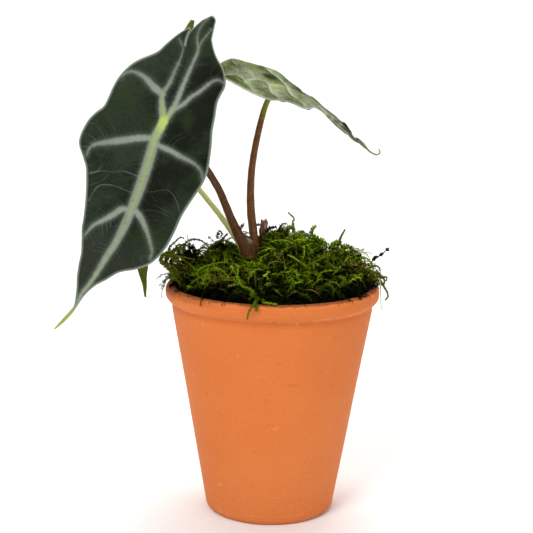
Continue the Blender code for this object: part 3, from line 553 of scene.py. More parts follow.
def blade(name, piece_name, skin):
    """One leaf blade with its veins sunk in the face and raised on the back."""
    leaf = BLADES[name]
    scale = leaf["scale"]
    side, length, face = frame_from(leaf["face"], leaf["down"])
    ribs, left_lobe, right_lobe = leaf["outline"]
    ribs = np.reshape(ribs, (-1, 6)) * scale
    middle = ribs[:, 0:2]
    fine = np.linspace(0.0, len(ribs) - 1.0, MIDRIB_STEPS)
    run = run_along(catmull(middle, fine))
    where = np.interp(np.linspace(0.0, run[-1], leaf["rows"]), run, fine)
    inner = catmull(middle, where)
    even_columns = np.linspace(0.0, 1.0, leaf["columns"])
    crowded = (1.0 - np.cos(math.pi * even_columns)) / 2.0
    columns = EVEN_SHARE * even_columns + CROWDED_SHARE * crowded

    spots, across, reach, progress, grids, edge_paths = [], [], [], [], [], []
    count = 0
    for lobe, at, lag in ((left_lobe, 2, 0.1), (right_lobe, 4, 0.0)):
        lobe = np.reshape(lobe, (-1, 4)) * scale
        outer_all = np.vstack([lobe[:, 2:4], ribs[:, at:at + 2]])
        lobe_where = np.linspace(0.0, len(lobe), leaf["lobe_rows"] + 1)[:-1]
        starts = np.vstack([catmull(np.vstack([lobe[:, 0:2], middle]), lobe_where), inner])
        ends = np.vstack([catmull(outer_all, lobe_where), catmull(outer_all, where + len(lobe))])
        grid = starts[:, None, :] + (ends - starts)[:, None, :] * columns[None, :, None]
        rows = len(starts)
        spots.append(grid.reshape(-1, 2))
        across.append(np.tile(columns, rows))
        reach.append(np.repeat(np.linalg.norm(ends - starts, axis=1), len(columns)))
        part = np.concatenate([np.zeros(len(lobe_where)), np.linspace(0, 1, leaf["rows"])])
        progress.append(np.repeat(part, len(columns)) + lag)
        grids.append(count + np.arange(rows * len(columns)).reshape(rows, len(columns)))
        edge_paths.append((starts[:len(lobe_where) + 1][::-1], ends))
        count += rows * len(columns)
    flat, across = np.vstack(spots), np.concatenate(across)
    reach, progress = np.concatenate(reach), np.concatenate(progress)
    (sinus_left, out_left), (sinus_right, out_right) = edge_paths
    outline = np.vstack([sinus_left, out_left, out_right[::-1], sinus_right[::-1]])[::3]
    values = blade_fields(leaf, flat, outline)

    u, v = flat[:, 0], flat[:, 1]
    away, edge = values["away"], values["edge"]
    mid_u = np.where(v > 0.0, np.interp(v, inner[:, 1], inner[:, 0]), 0.0)
    off = np.abs(u - mid_u)
    bend = np.where(v > 0.0, leaf["bend_tip"], leaf["bend_lobe"])
    lift = -bend * v * v + leaf["fold"] * off - leaf["cup"] * off * off
    lift += leaf["curl"] * np.maximum(0.0, v) ** 3
    turn, begins, full = leaf["twist"]
    lift += turn * np.clip((v / scale - begins) / (full - begins), 0.0, 1.0) * (u - mid_u)
    swing = np.sin(leaf["wave_turns"] * math.tau * progress)
    lift += leaf["wave"] * across ** 2 * np.minimum(1.0, reach / WAVE_BREADTH) * swing
    furrow = leaf["furrow"] * np.clip(-v / FURROW_RUN, 0.0, 1.0)
    lift -= furrow * np.exp(-(across * reach / FURROW_WIDTH) ** 2)
    swell = 1.0 - np.exp(-(away / (SWELL_WIDTH * scale)) ** 2)
    swell *= np.clip(edge / (SWELL_MARGIN * scale), 0.0, 1.0)
    wide, tall = RIPPLE_SIZE
    ripple = np.array([lumps(x / wide, y / tall, 5.0 * scale) for x, y in flat])
    lift += leaf["quilt"] * (swell - 0.5) + RIPPLE * ripple
    thinned = np.clip(1.0 - edge / THINNING_WIDTH, 0.0, 1.0)
    half = BLADE_HALF * (1.0 - THINNING * thinned ** 3)
    groove = GROOVE * np.clip(1.0 - away / (GROOVE_WIDTH * scale), 0.0, 1.0)
    keel = KEEL * np.exp(-(across * reach / KEEL_WIDTH) ** 2) * np.maximum(0.25, 1.0 - progress)
    ridge = RIDGE * np.exp(-(away / (RIDGE_WIDTH * scale)) ** 2)
    base = np.array(leaf["junction"]) + u[:, None] * side + v[:, None] * length
    front = base + (lift + half - groove)[:, None] * face
    back = base + (lift - half - np.maximum(keel, ridge))[:, None] * face

    quads = [np.stack([g[:-1, :-1], g[:-1, 1:], g[1:, 1:], g[1:, :-1]], -1).reshape(-1, 4)
             for g in grids]
    quads[0] = quads[0][:, ::-1]
    # the two halves share one line of points from the sinus to the tip
    remap = np.arange(count)
    remap[grids[0][-leaf["rows"]:, 0]] = grids[1][-leaf["rows"]:, 0]
    quads = remap[np.vstack(quads)]
    ahead = quads[:, ::-1]
    edges = np.vstack([ahead[:, [i, (i + 1) % 4]] for i in range(4)])
    key = np.min(edges, axis=1) * count + np.max(edges, axis=1)
    _, first, times = np.unique(key, return_index=True, return_counts=True)
    rim = edges[first[times == 1]]
    rim_quads = np.stack([rim[:, 1], rim[:, 0], rim[:, 0] + count, rim[:, 1] + count], -1)
    faces = np.vstack([ahead, quads + count, rim_quads])
    values = {key: np.tile(numbers, 2) for key, numbers in values.items()}
    values["front"] = np.repeat([1.0, 0.0], count)
    values["down"] = np.tile(v, 2) / scale
    values["across"] = np.tile(u, 2) / scale
    used, faces = np.unique(faces, return_inverse=True)
    return mesh_piece(piece_name, np.vstack([front, back])[used], faces.reshape(-1, 4), skin,
                      {key: numbers[used] for key, numbers in values.items()})


def blade_skin(name, dark, light, far_tone, vein, hearts, pocket_shade, back, sheen, tint,
               line_strength, contrast, rib_light_and_shade=0.0, specular=0.1, painted_shade_bay=0.0, streaks=0.0,
               rib_fade=0.0):
    """Velvet leaf: pale combed bands on the ribs, faint arching veins between them."""
    skin = Skin(name, 0.66, specular=specular, sheen=sheen, sheen_tint=tint)
    read, noisy, mix = skin.read, skin.noise, skin.mix
    along, away, down, across = (read(key) for key in ("along", "away", "down", "across"))
    rib, core, edge = read("rib"), read("core"), read("edge")
    comb = noisy(1.0, 3.0, 0.6, where=skin.vector(along * 2.6, away * 0.42))
    ragged = (comb - 0.5) * 2.0
    band = (rib + ragged).ramp(0.55, -1.05)

    lean = along - away * (away * 0.03 + 0.15)
    turned = lean / 2.2 + noisy(60.0, 1.0) * 1.1
    line = abs(skin.math("FRACT", turned) - 0.5)
    strong = skin.add("ShaderNodeTexWhiteNoise", "Value", [("W", skin.math("FLOOR", turned))],
                      noise_dimensions="1D")
    fine = line.ramp(0.16, 0.0) * read("fade") * strong.ramp(0.35, 1.0, 0.04, line_strength)
    fine = fine * noisy(52.0, 2.0).ramp(0.42, 0.62, 0.1, 1.0) * across.ramp(16.0, -6.0, 0.4, 1.0)
    sweep = noisy(1.0, 2.0, where=skin.vector(lean * 0.42, away * 0.14))
    thin = abs(read("thin")).ramp(0.5, 0.05) * read("shown")
    thin = thin * noisy(90.0, 2.0).ramp(0.35, 0.6, 0.35, 1.0) * across.ramp(6.0, 0.0, 0.6, 1.0)
    beyond = down.ramp(36.0, 46.0) * streaks
    bare = 1.0 - skin.math("MAXIMUM", read("pocket_shade"), beyond)
    border = (edge + down.ramp(-28.0, -40.0, 0.0, 0.5) + comb * 0.6).ramp(1.75, 0.85) * bare
    outer = edge.ramp(0.5, 0.2) * bare

    cloud = noisy(38.0, 4.0)
    grain = noisy(2300.0, 2.0)
    fluff = noisy(520.0, 4.0, 0.75)
    # Painted sheen and shade: the ground is lighter towards the tip and the left side, and darker
    # in a bay right of the midrib.
    tone = cloud.ramp(0.33, 0.68) * contrast + down.ramp(-45.0, 80.0, 0.0, 0.45)
    tone = tone + across.ramp(12.0, -20.0, -0.2, 0.2) + (sweep - 0.5) * 1.1
    tone = (tone + (fluff - 0.5) * 1.3 + (grain - 0.5) * 0.45).clamped()
    tone = (tone + abs(across - 10.0).ramp(14.0, 3.0, 0.0, -painted_shade_bay)).clamped()
    # Painted light and shade: paler on the ribs' ridges, darker in the quilted hollows between
    # them.
    tone = (tone + away.ramp(3.6, 0.6, -rib_light_and_shade, rib_light_and_shade)).clamped()
    ground = mix(tone, dark, light)
    ground = mix(down.ramp(52.0, 72.0) * (grain * 0.3 + 0.6), ground, far_tone)
    streak = noisy(1.0, 2.0, where=skin.vector(across * 0.5, down * 0.07, 4.0))
    ground = mix(beyond * streak.ramp(0.47, 0.55), ground, tinted(dark, 0.6))
    ground = mix(beyond * streak.ramp(0.44, 0.38), ground, tinted(vein, 0.9))
    green = tuple(factor * c for factor, c in zip((0.8, 1.15, 0.35), light)) + (1.0,)
    ground = mix(noisy(64.0, 3.0).ramp(0.53, 0.7) * 0.55, ground, green)
    ground = mix((rib + ragged * 1.6).ramp(2.2, 0.0, 0.0, 0.3), ground, tinted(vein, 0.42))
    # Painted shade: the dark pockets of the puckered blade.
    ground = mix(read("pocket_shade") * cloud.ramp(0.2, 0.6, 0.7, 1.0), ground, pocket_shade)

    face = mix(fine, ground, tinted(vein, 0.75))
    face = mix(thin * 0.45, face, tinted(vein, 0.6))
    face = mix(border * 0.85, face, tinted(vein, 0.62))
    face = mix(outer * 0.7, face, tinted(vein, 1.15))
    vein_tone = mix(grain.ramp(0.3, 0.7, 0.0, 0.55), vein, tinted(vein, 0.6))
    vein_tone = mix(abs(across).ramp(6.0, 24.0, 0.0, rib_fade), vein_tone, tinted(vein, 0.55))
    face = mix(band, face, vein_tone)
    heart = (core + ((grain - 0.5) * 1.6 + (comb - 0.5) * 1.8)).ramp(0.5, -0.6)
    face = mix(heart, face, skin.colours(read("way"), *hearts))
    bark = noisy(700.0, 3.0, 0.7).ramp(0.56, 0.68) * abs(core).ramp(0.9, 0.1, 0.0, 0.55)
    face = mix(bark, face, srgb(112, 100, 52))
    face = mix(down.ramp(98.0, 108.0), face, srgb(*hearts[-1][1:]))
    speck = skin.cells(260.0).ramp(0.07, 0.04) * noisy(55.0).ramp(0.56, 0.6)
    face = mix(speck * 0.7, face, srgb(120, 128, 62))

    under = mix(noisy(900.0, 3.0).ramp(0.3, 0.7), back, tinted(back, 1.5))
    under = mix(rib.ramp(0.3, -0.5) * 0.7, under, tinted(back, 2.3))
    under = mix(fine * 0.8, under, tinted(back, 2.0))
    relief = fine * -0.8 + grain * 0.35 + noisy(420.0, 3.0) * 0.8
    return skin.done(mix(read("front"), under, face), band.ramp(0.0, 1.0, 0.62, 0.72), relief,
                     0.00025, 0.5)


HEARTS = [(0.0, 178, 200, 108), (0.025, 172, 194, 104), (0.055, 150, 168, 112),
          (0.2, 142, 158, 110), (0.5, 146, 156, 124), (0.9, 156, 166, 128), (1.0, 158, 164, 84)]
RIGHT_HEARTS = [(0.0, 172, 192, 68), (0.14, 170, 186, 72), (0.26, 158, 168, 104),
                (0.4, 158, 164, 142), (1.0, 168, 174, 156)]
dark_velvet = blade_skin("leaf_velvet", srgb(12, 19, 7), srgb(40, 49, 35), srgb(44, 50, 40),
                         srgb(143, 153, 138), HEARTS, srgb(18, 24, 12), srgb(84, 96, 42), 0.02,
                         srgb(190, 205, 185), 0.33, 0.9, painted_shade_bay=0.55, rib_fade=0.45)
# Painted sheen: the right-hand blade is dark velvet seen at a grazing angle, and its pale
# grey-green colours stand in for the sheen.
sheen_painted_velvet = blade_skin("leaf_sheen", srgb(72, 80, 36), srgb(150, 158, 127), srgb(112, 120, 104),
                         srgb(180, 187, 164), RIGHT_HEARTS, srgb(34, 44, 0), srgb(84, 96, 42),
                         0.0, srgb(215, 225, 210), 0.45, 0.9, 0.25, 0.02, streaks=0.85)
rear_velvet = blade_skin("leaf_rear", srgb(20, 28, 12), srgb(42, 52, 34), srgb(106, 116, 38),
                         srgb(140, 152, 134), HEARTS, srgb(24, 30, 12), srgb(90, 98, 32), 0.04,
                         srgb(190, 205, 185), 0.3, 0.5)
finish_piece(blade("leaf_large", "large_blade", dark_velvet), "leaf_dark", "leaf_large")
finish_piece(blade("leaf_right", "right_blade", sheen_painted_velvet), "leaf_sheen", "leaf_right")
finish_piece(blade("leaf_rear", "rear_blade", rear_velvet), "leaf_rear", "leaf_rear")


def right_tail():
    """The drawn-out point of the right-hand blade, hooked up at its end."""
    path = even([(44.3, 38.3, 190.5, 0.7), (47.2, 41.0, 187.9, 0.7), (49.3, 42.5, 185.4, 0.6),
                 (51.1, 43.5, 183.6, 0.52), (53.1, 44.5, 182.3, 0.48), (55.3, 45.0, 181.7, 0.46),
                 (56.7, 45.2, 182.6, 0.42), (56.6, 45.2, 183.9, 0.36), (55.9, 45.0, 184.8, 0.2)],
                60)
    points, faces = tube(path[:, :3], path[:, 3], 10)
    # Painted sheen: the tail has the pale grey-green of the blade's painted sheen.
    skin = Skin("leaf_tail", 0.7, specular=0.1)
    skin.done(skin.mix(skin.noise(700.0, 3.0), srgb(112, 118, 84), srgb(158, 164, 138)))
    finish_piece(mesh_piece("right_blade_tail", points, faces, skin.material), "leaf_sheen")


right_tail()


def rolled_edges():
    """Two short stretches where the right-hand blade's far margin has rolled over; their dark olive
    is painted shade.
    """
    bends, thickness = 9, 0.16
    row = 2 * bends
    points, faces = [], []
    for margin, breadth in (
            ([(35.6, 32.2, 199.7), (36.2, 32.9, 199.2), (37.3, 34.3, 198.5), (38.5, 34.8, 197.0),
              (39.6, 35.5, 195.5), (41.2, 36.7, 193.6)], 3.0),
            ([(43.1, 38.2, 191.5), (44.1, 38.9, 190.4), (45.3, 39.7, 189.2)], 2.2)):
        path = even(margin, 24)
        first = len(points)
        for index, point in enumerate(path):
            share = index / (len(path) - 1)
            swell = min(1.0, share / 0.12) * max(0.0, 1.0 - share) ** 0.6
            for layer in (0.0, thickness):
                for k in range(bends):
                    part = k / (bends - 1)
                    rise = 0.42 * math.sin(0.5 * math.pi * min(1.0, 3.0 * part))
                    over = breadth * np.array([0.0, -0.1 - part, rise - 0.8 * part ** 1.5])
                    points.append(point + swell * (over - np.array([0.0, 0.0, layer])))
        for index in range(len(path) - 1):
            for layer in range(2):
                for k in range(bends - 1):
                    a = first + index * row + layer * bends + k
                    quad = (a, a + 1, a + row + 1, a + row)
                    faces.append(quad if layer else quad[::-1])
            for k in (0, bends - 1):
                a = first + index * row + k
                quad = (a, a + bends, a + bends + row, a + row)
                faces.append(quad if k else quad[::-1])
    # Painted shade: the rolled margin is coloured dark olive.
    skin = Skin("rolled_edge", 0.9, specular=0.02)
    skin.done(skin.mix(skin.noise(520.0, 3.0, 0.6).ramp(0.35, 0.65), srgb(34, 30, 8),
                       srgb(68, 70, 22)))
    finish_piece(mesh_piece("right_blade_rolls", points, faces, skin.material), "leaf_sheen")


rolled_edges()


# Stalks: points and radii as in the CAD part, with the last point inside the blade's keel

STALK_FOOT = 116.3
STALK_RIBS, STALK_RIB = 8, 0.035
SHEATH_RUN = 26.0
WING_TOP, WING_RUN = 144.5, 7.0
STALKS = {
    "stalk_large": [-11.5, -5.8, STALK_FOOT, 2.5, -11.7, -6.4, 124, 2.6, -13.9, -7.5, 137.5, 2.7,
        -17.3, -9, 144.9, 2.5, -21.1, -12, 153.5, 2.15, -24.3, -15, 161.9, 1.95,
        -27.7, -19, 170.4, 1.85, -34.9, -24.5, 182.8, 1.75, -41.9, -29, 191.4, 1.7,
        -47.9, -33, 197.9, 1.65, -52.7, -36.9, 204.2, 1.5],
    "stalk_right": [-6.2, -2.9, STALK_FOOT, 2.1, -7.2, -3.4, 124, 2.1, -8.6, -4, 132.8, 2.2,
        -9.3, -4.5, 140.1, 2.15, -10.5, -4.5, 148.4, 2.1, -11.5, -4.5, 156.6, 2.05,
        -11.9, -4, 167.7, 1.85, -11.3, -3.5, 179.3, 1.7, -9.5, -3, 191.4, 1.6, -6.9, -2, 203.4, 1.5,
        -4.5, -0.6, 211.3, 1.4, -0.5, 2, 219.2, 1.3],
    "stalk_rear": [-11.6, 0.9, STALK_FOOT, 1.7, -12.6, 1.2, 124, 1.65, -17, 1.2, 138, 1.55,
        -22.8, 1.5, 147.2, 1.45, -28.8, 2.5, 155.2, 1.4, -35.6, 3.5, 163.3, 1.35,
        -42.8, 5, 172.5, 1.3, -46.9, 6.5, 184, 1.3, -47.8, 8.5, 198, 1.3, -52.9, 11.7, 207.8, 1.2],
}


def stalk_path(name, count):
    return even(np.reshape(STALKS[name], (-1, 4)), count)


def stalk(name, piece_name, skin, slot, sheath=0.0, wing=0.0):
    """A finely ribbed stalk that is wider at its sheathing base."""
    rings, sides = 260, 32
    path = stalk_path(name, rings)
    height = path[:, 2:3]
    share = np.linspace(0.0, 1.0, rings)[:, None]
    turn = (np.arange(sides) * math.tau / sides)[None, :]
    radius = path[:, 3:4] * (1.0 + STALK_RIB * np.cos(STALK_RIBS * turn + 3.0 * share))
    radius = radius * (1.0 + 0.015 * np.sin(90.0 * share + 2.0 * turn))
    low = np.clip(1.0 - (height - STALK_FOOT) / SHEATH_RUN, 0.0, 1.0)
    radius = radius * (1.0 + sheath * low * (0.5 + 0.5 * np.cos(turn - 0.4)))
    wrap = np.clip((WING_TOP - height) / WING_RUN, 0.0, 1.0)
    wrap = wing * wrap * wrap * (3.0 - 2.0 * wrap) * np.maximum(0.0, np.cos(turn - 0.3)) ** 3
    radius = radius + wrap
    points, faces = tube(path[:, :3], radius, sides)
    near_top = np.clip((height - WING_TOP + 5.0) / 3.0, 0.0, 1.0)
    values = {"way": np.repeat(share, sides, axis=1).ravel(),
              "wing": (np.clip(wrap - 0.25, 0.0, 1.0) * near_top).ravel(),
              "around": np.broadcast_to(turn, radius.shape).ravel()}
    finish_piece(mesh_piece(piece_name, points, faces, skin, values), slot, name)


def stalk_skin(name, low, high, spot, change):
    """Satin stalk with long fine streaks, small spots and another colour near its blade."""
    skin = Skin(name, 0.42, specular=0.22)
    way, around = skin.read("way"), skin.read("around")
    streak = skin.noise(1.0, 4.0, 0.65, where=skin.vector(
        skin.math("SINE", around) * 6.0, skin.math("COSINE", around) * 6.0, way * 9.0))
    fleck = skin.noise(520.0, 3.0, 0.7)
    body = skin.mix(streak.ramp(0.3, 0.72), tinted(low, 0.8), tinted(low, 1.45))
    body = skin.mix(skin.noise(620.0, 3.0, 0.7).ramp(0.46, 0.58, 0.0, 0.55), body,
                    tinted(low, 0.45))
    upper = skin.mix(streak.ramp(0.3, 0.7), high, tinted(high, 0.72))
    body = skin.mix((way + (fleck - 0.5) * 0.10).ramp(*change), body, upper)
    body = skin.mix(fleck.ramp(0.6, 0.72) * 0.65, body, spot)
    body = skin.mix(skin.read("wing"), body, srgb(180, 188, 170))
    return skin.done(body, None, streak + fleck * 0.5, 0.00012, 0.6)


brown_stalk = stalk_skin("stalk_brown", srgb(106, 65, 32), srgb(170, 174, 62), srgb(140, 104, 64),
                         (0.80, 0.92))
large_stalk = stalk_skin("stalk_brown_large", srgb(92, 56, 28), srgb(136, 118, 66),
                         srgb(140, 104, 64), (0.88, 1.0))
green_stalk = stalk_skin("stalk_green", srgb(232, 234, 142), srgb(238, 242, 152),
                         srgb(104, 82, 40), (-0.2, 0.5))
stalk("stalk_large", "large_stalk", large_stalk, "stalk_brown", 0.25, 3.6)
stalk("stalk_right", "right_stalk", brown_stalk, "stalk_brown", 0.5)
stalk("stalk_rear", "rear_stalk", green_stalk, "stalk_green", 0.1)


# Dried sheath: a torn, curled scrap of an old stalk beside the others

def dry_scrap():
    """A thin curled strip with a torn upper end."""
    spine = even([(-4.8, 0.9, STALK_FOOT, 1.5), (-5.0, 0.8, 126.0, 1.4), (-5.7, 0.5, 135.2, 1.0),
                  (-6.0, 0.5, 141.4, 0.9), (-5.4, 0.5, 146.1, 1.5), (-4.7, 0.5, 149.7, 1.5),
                  (-5.3, 0.3, 152.0, 1.1)], 70)
    sides, wall = 22, 0.14
    points, inner = [], []
    for index, (x, y, z, radius) in enumerate(spine):
        share = index / (len(spine) - 1)
        opening = 3.6 - 1.2 * share + 0.5 * math.sin(9.0 * share)
        for k in range(sides):
            turn = 2.6 + opening * (k / (sides - 1) - 0.5) + 2.2 * share
            reach = radius * (1.0 + 0.22 * lumps(k * 0.45, index * 0.22, 2.0)) * 1.25
            top = z + 1.6 * lumps(k * 0.5, 7.1, 0.0) * share ** 4
            for layer, out in ((points, reach), (inner, reach - wall)):
                across, away = polar(out, turn)
                layer.append((x + across, y + away, top))
    total = len(points)
    faces = []
    for i in range(len(spine) - 1):
        for k in range(sides - 1):
            a = i * sides + k
            faces.append((a, a + 1, a + sides + 1, a + sides))
            faces.append((total + a, total + a + sides, total + a + sides + 1, total + a + 1))
        for k in (0, sides - 1):
            a, b = i * sides + k, (i + 1) * sides + k
            faces.append((a, b, b + total, a + total) if k == 0 else (a, a + total, b + total, b))
    for k in range(sides - 1):
        a = (len(spine) - 1) * sides + k
        faces.append((a, a + 1, a + 1 + total, a + total))
    skin = Skin("dry_sheath", 0.8, specular=0.25)
    tone = skin.noise(260.0, 4.0, 0.7, stretch=(1.0, 1.0, 0.25))
    skin.done(skin.colours(tone, (0.36, 60, 34, 22), (0.56, 104, 68, 48), (0.7, 170, 158, 136)),
              None, tone, 0.0003, 0.7)
    finish_piece(mesh_piece("dried_sheath", points + inner, faces, skin.material),
                 "dry_sheath", "dry_sheath")


dry_scrap()


# Pot: radius and height of its outline, from the lip out and down to the foot, then inside

POT_RIM = [
    51, 118.8, 51.7, 119, 52.4, 119, 53.2, 118.85, 53.9, 118.4, 54.45, 117.9, 54.8, 117.2,
    55, 116.4, 55, 115.6, 54.95, 114.5, 54.8, 113.4, 54.5, 112.6, 54.1, 112, 53.6, 111.4,
    53.1, 110.9, 52.4, 110.4, 51.9, 110.15, 51.65, 109.9, 51.55, 109.3, 51.5, 106.5]
POT_FOOT = [
    33.9, 4.6, 33.75, 3.4, 33.5, 2.2, 33.1, 1.4, 32.6, 0.8, 31.9, 0.3, 31, 0, 20, 0, 7.2, 0,
    6.7, 0.3, 6.5, 0.7, 6.5, 5.3, 6.7, 5.8, 7.2, 6, 26.8, 6, 28.9, 7.6, 40, 69.8, 46, 103.2,
    46.6, 106.5, 47.3, 108.8, 48, 111, 49.1, 114.3, 50.2, 117.6, 50.55, 118.35]
POT_STEPS = 46
POT_SIDES = 300
# Small marks on the front: across, up, size, strength
POT_MARKS = [
    (-45.5, 118.1, 0.9, 0.75), (-24.0, 118.0, 0.9, 0.75), (-22.8, 118.1, 0.6, 0.75),
    (1.0, 110.8, 0.9, 0.6), (2.2, 111.2, 0.6, 0.6), (32.2, 117.6, 0.5, 0.75),
    (-32.0, 68.3, 0.5, 0.75), (-7.5, 40.9, 0.4, 0.6), (4.0, 89.5, 1.3, 0.12),
    (8.8, 77.9, 1.5, 0.13), (11.0, 77.6, 1.4, 0.16), (13.2, 77.8, 1.3, 0.1),
    (-2.0, 69.5, 1.8, 0.08)]


def pot():
    """Turned terracotta with the slight unevenness of a cast pot."""
    rim, foot = np.reshape(POT_RIM, (-1, 2)), np.reshape(POT_FOOT, (-1, 2))
    part = np.arange(1, POT_STEPS)[:, None] / POT_STEPS
    outline = np.vstack([rim, rim[-1] + (foot[0] - rim[-1]) * part, foot])
    points = []
    for radius, height in outline:
        for k in range(POT_SIDES):
            x, y = polar(1.0, math.tau * k / POT_SIDES)
            wobble = 0.0
            if radius > 30.0 and height > 0.5:
                wobble = 0.14 * lumps(2.2 * x, 2.2 * y, height / 40.0)
                wobble += 0.05 * lumps(1.1 * x, 1.1 * y, height / 2.6)
            points.append(((radius + wobble) * x, (radius + wobble) * y, height))
    quads = ring_quads(len(outline), POT_SIDES, True)
    finish_piece(mesh_piece("terracotta_pot", points, quads, terracotta()), "terracotta", "pot")


def pot_marks(skin, x, y, z):
    """A few small dark marks on the front of the pot."""
    shown = 0.0
    for across, up, size, depth in POT_MARKS:
        far = (x - (AXIS_X + across * MM)) ** 2.0 + (z - up * MM) ** 2.0
        mark = skin.math("SQRT", far).ramp(size * MM, 0.3 * size * MM, 0.0, depth)
        shown = skin.math("MAXIMUM", shown, mark)
    return shown * skin.math("LESS_THAN", y, AXIS_Y)


def terracotta():
    """Cloudy fired clay with pale scars low down, dust under the rim and a stained lip."""
    skin = Skin("terracotta", 0.75, specular=0.16, sheen=0.05, sheen_tint=srgb(255, 214, 186))
    noisy, mix = skin.noise, skin.mix
    x, y, z = skin.split(skin.place)
    height = z * 1000.0
    fine = noisy(900.0, 4.0, 0.65)
    body = mix(noisy(16.0, 4.0, 0.6).ramp(0.3, 0.7), srgb(217, 118, 57), srgb(223, 128, 68))
    body = mix(fine.ramp(0.35, 0.65) * 0.32, body, srgb(206, 108, 50))
    smear = noisy(38.0, 2.0, 0.5, stretch=(0.4, 0.4, 3.2))
    scar = abs(smear - 0.53).ramp(0.012, 0.003) * noisy(70.0, 2.0).ramp(0.5, 0.62, 0.0, 0.6)
    body = mix(scar * height.ramp(27.0, 16.0), body, srgb(238, 158, 112))
    # Painted shadow: a darker band just under the rim's ledge.
    body = mix(abs(height - 108.6).ramp(2.6, 0.0) * 0.28, body, srgb(190, 92, 40))
    body = mix(pot_marks(skin, x, y, z), body, srgb(96, 48, 22))
    dust = abs(height - 111.1).ramp(0.8, 0.1) * noisy(90.0, 3.0).ramp(0.42, 0.64, 0.0, 0.3)
    body = mix(dust * x.ramp(0.01, 0.05, 0.3, 1.4), body, srgb(236, 176, 134))
    body = mix(noisy(140.0, 5.0, 0.7).ramp(0.62, 0.72) * 0.35, body, srgb(238, 164, 118))
    speck = skin.cells(430.0).ramp(0.10, 0.04) * noisy(75.0, 2.0).ramp(0.55, 0.62, 0.0, 0.8)
    body = mix(speck, body, srgb(132, 68, 34))
    stain = height + noisy(110.0, 4.0, 0.7) * 3.0
    body = mix(stain.ramp(119.2, 120.2, 0.0, 0.9), body, srgb(120, 60, 22))
    # Darker towards the left on the rim's upper part.
    soil = height + noisy(200.0, 3.0) * 3.0
    left_rim_darkening = x.ramp(AXIS_X - 0.016, AXIS_X - 0.044) * soil.ramp(116.0, 119.0, 0.0, 0.6)
    body = mix(left_rim_darkening, body, srgb(160, 84, 36))
    crumbs = skin.cells(330.0).ramp(0.30, 0.14) * height.ramp(117.0, 118.6)
    body = mix(crumbs * noisy(40.0).ramp(0.45, 0.6), body, srgb(48, 26, 12))
    radius = skin.math("SQRT", (x - AXIS_X) ** 2.0 + (y - AXIS_Y) ** 2.0)
    inside = radius.ramp(0.0516, 0.0508) * height.ramp(112.0, 116.0)
    body = mix(inside * 0.8, body, srgb(92, 46, 18))
    return skin.done(body, fine.ramp(0.2, 0.8, 0.62, 0.8), fine * 0.5 + noisy(2600.0, 2.0),
                     0.00012, 0.35)


pot()


# Potting mix and corm keep their CAD shapes and get their real surfaces

def filling():
    soil = Skin("soil", 0.95, specular=0.15)
    colour = soil.colours(soil.noise(520.0, 5.0, 0.7), (0.3, 22, 15, 10), (0.55, 52, 38, 26),
                          (0.72, 96, 76, 54))
    soil.done(colour, None, soil.cells(420.0) + soil.noise(1500.0, 3.0), 0.0012, 0.9)
    bark = Skin("corm", 0.85, specular=0.2)
    fibre = bark.noise(330.0, 5.0, 0.7, stretch=(1.0, 1.0, 0.2))
    colour = bark.colours(fibre, (0.3, 46, 30, 18), (0.55, 92, 62, 40), (0.75, 138, 102, 70))
    bark.done(colour, None, fibre, 0.0006, 0.8)
    for node, skin in (("potting_mix", soil), ("corm", bark)):
        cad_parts[node].material_slots[0].material = skin.material


filling()


# Moss

MOSS_FOOT = 110.3
MOSS_RADIUS = 46.6
RIM_TOP = 119.0
RIM_RADIUS = 55.0
LIP_RADIUS = 51.0
MOUTH_RADIUS = 47.0
RIM_ROOM = 0.4                  # how far a strand stays above the rim
STEM_ROOM = 3.1                 # how far a strand stays from the middle of a stalk
STEM_SPOT = (-10.0, -2.3)
STEM_SPOT_RADIUS = 4.5
SETTLE = 1.6                    # how far a strand sinks into the moss below it
LEAFLET_TURN = 2.4
draw = random.Random(5)

# Crest of the moss seen from the front: places across, then heights
MOSS_RIDGE = ((-50, -43, -34, -24, -17, -2, 3, 7, 14, 18, 23, 28, 33, 39, 45, 52),
              (118, 123.5, 129, 134, 137, 139.5, 141.5, 141.5, 139.5, 136.5, 134, 131.5, 132,
               131.5, 125, 119.5))
RIDGE_DEPTH = 6.0
# How the moss falls from its crest: share of the height, distance and power
FRONT_FALL = (0.73, 50.0, 1.6)
BACK_FALL = (0.72, 42.0, 2.4)


def mound_reach(turn):
    return MOSS_RADIUS + 8.0 * held(0.6 + 0.9 * math.sin(turn))


def mound_height(x, y):
    """Height of the moss over the pot's mouth: a ridge that falls to the front and back."""
    ridge = float(np.interp(x, *MOSS_RIDGE)) - MOSS_FOOT
    share, distance, power = FRONT_FALL if y < RIDGE_DEPTH else BACK_FALL
    fall = share * min(1.0, abs(y - RIDGE_DEPTH) / distance) ** power
    near_stems = 7.5 * math.exp(-((x + 9.0) / 9.0) ** 2 - ((y + 6.0) / 12.0) ** 2)
    rough = 1.8 * lumps(x / 9.0, y / 9.0, 3.7)
    return max(MOSS_FOOT + 3.0, MOSS_FOOT + ridge * (1.0 - fall) - near_stems + rough)


def clump(x, y):
    """The moss lies in clumps with hollows between them."""
    return 4.2 * lumps(x / 7.5, y / 7.5, 21.0)


def packed_height(x, y):
    """Height of the packed moss under the loose strands, which is painted nearly black as shade."""
    out = math.hypot(x, y) / MOSS_RADIUS
    sunk = 5.0 + 6.0 * max(0.0, out - 0.70)
    uneven = 1.6 * lumps(x / 4.0, y / 4.0, 1.3) + 1.3 * clump(x, y)
    return min(139.0 - 19.0 * out ** 3, max(MOSS_FOOT + 1.2, mound_height(x, y) - sunk + uneven))


STEMS = [stalk_path(name, 40)[:14, :3] for name in STALKS]


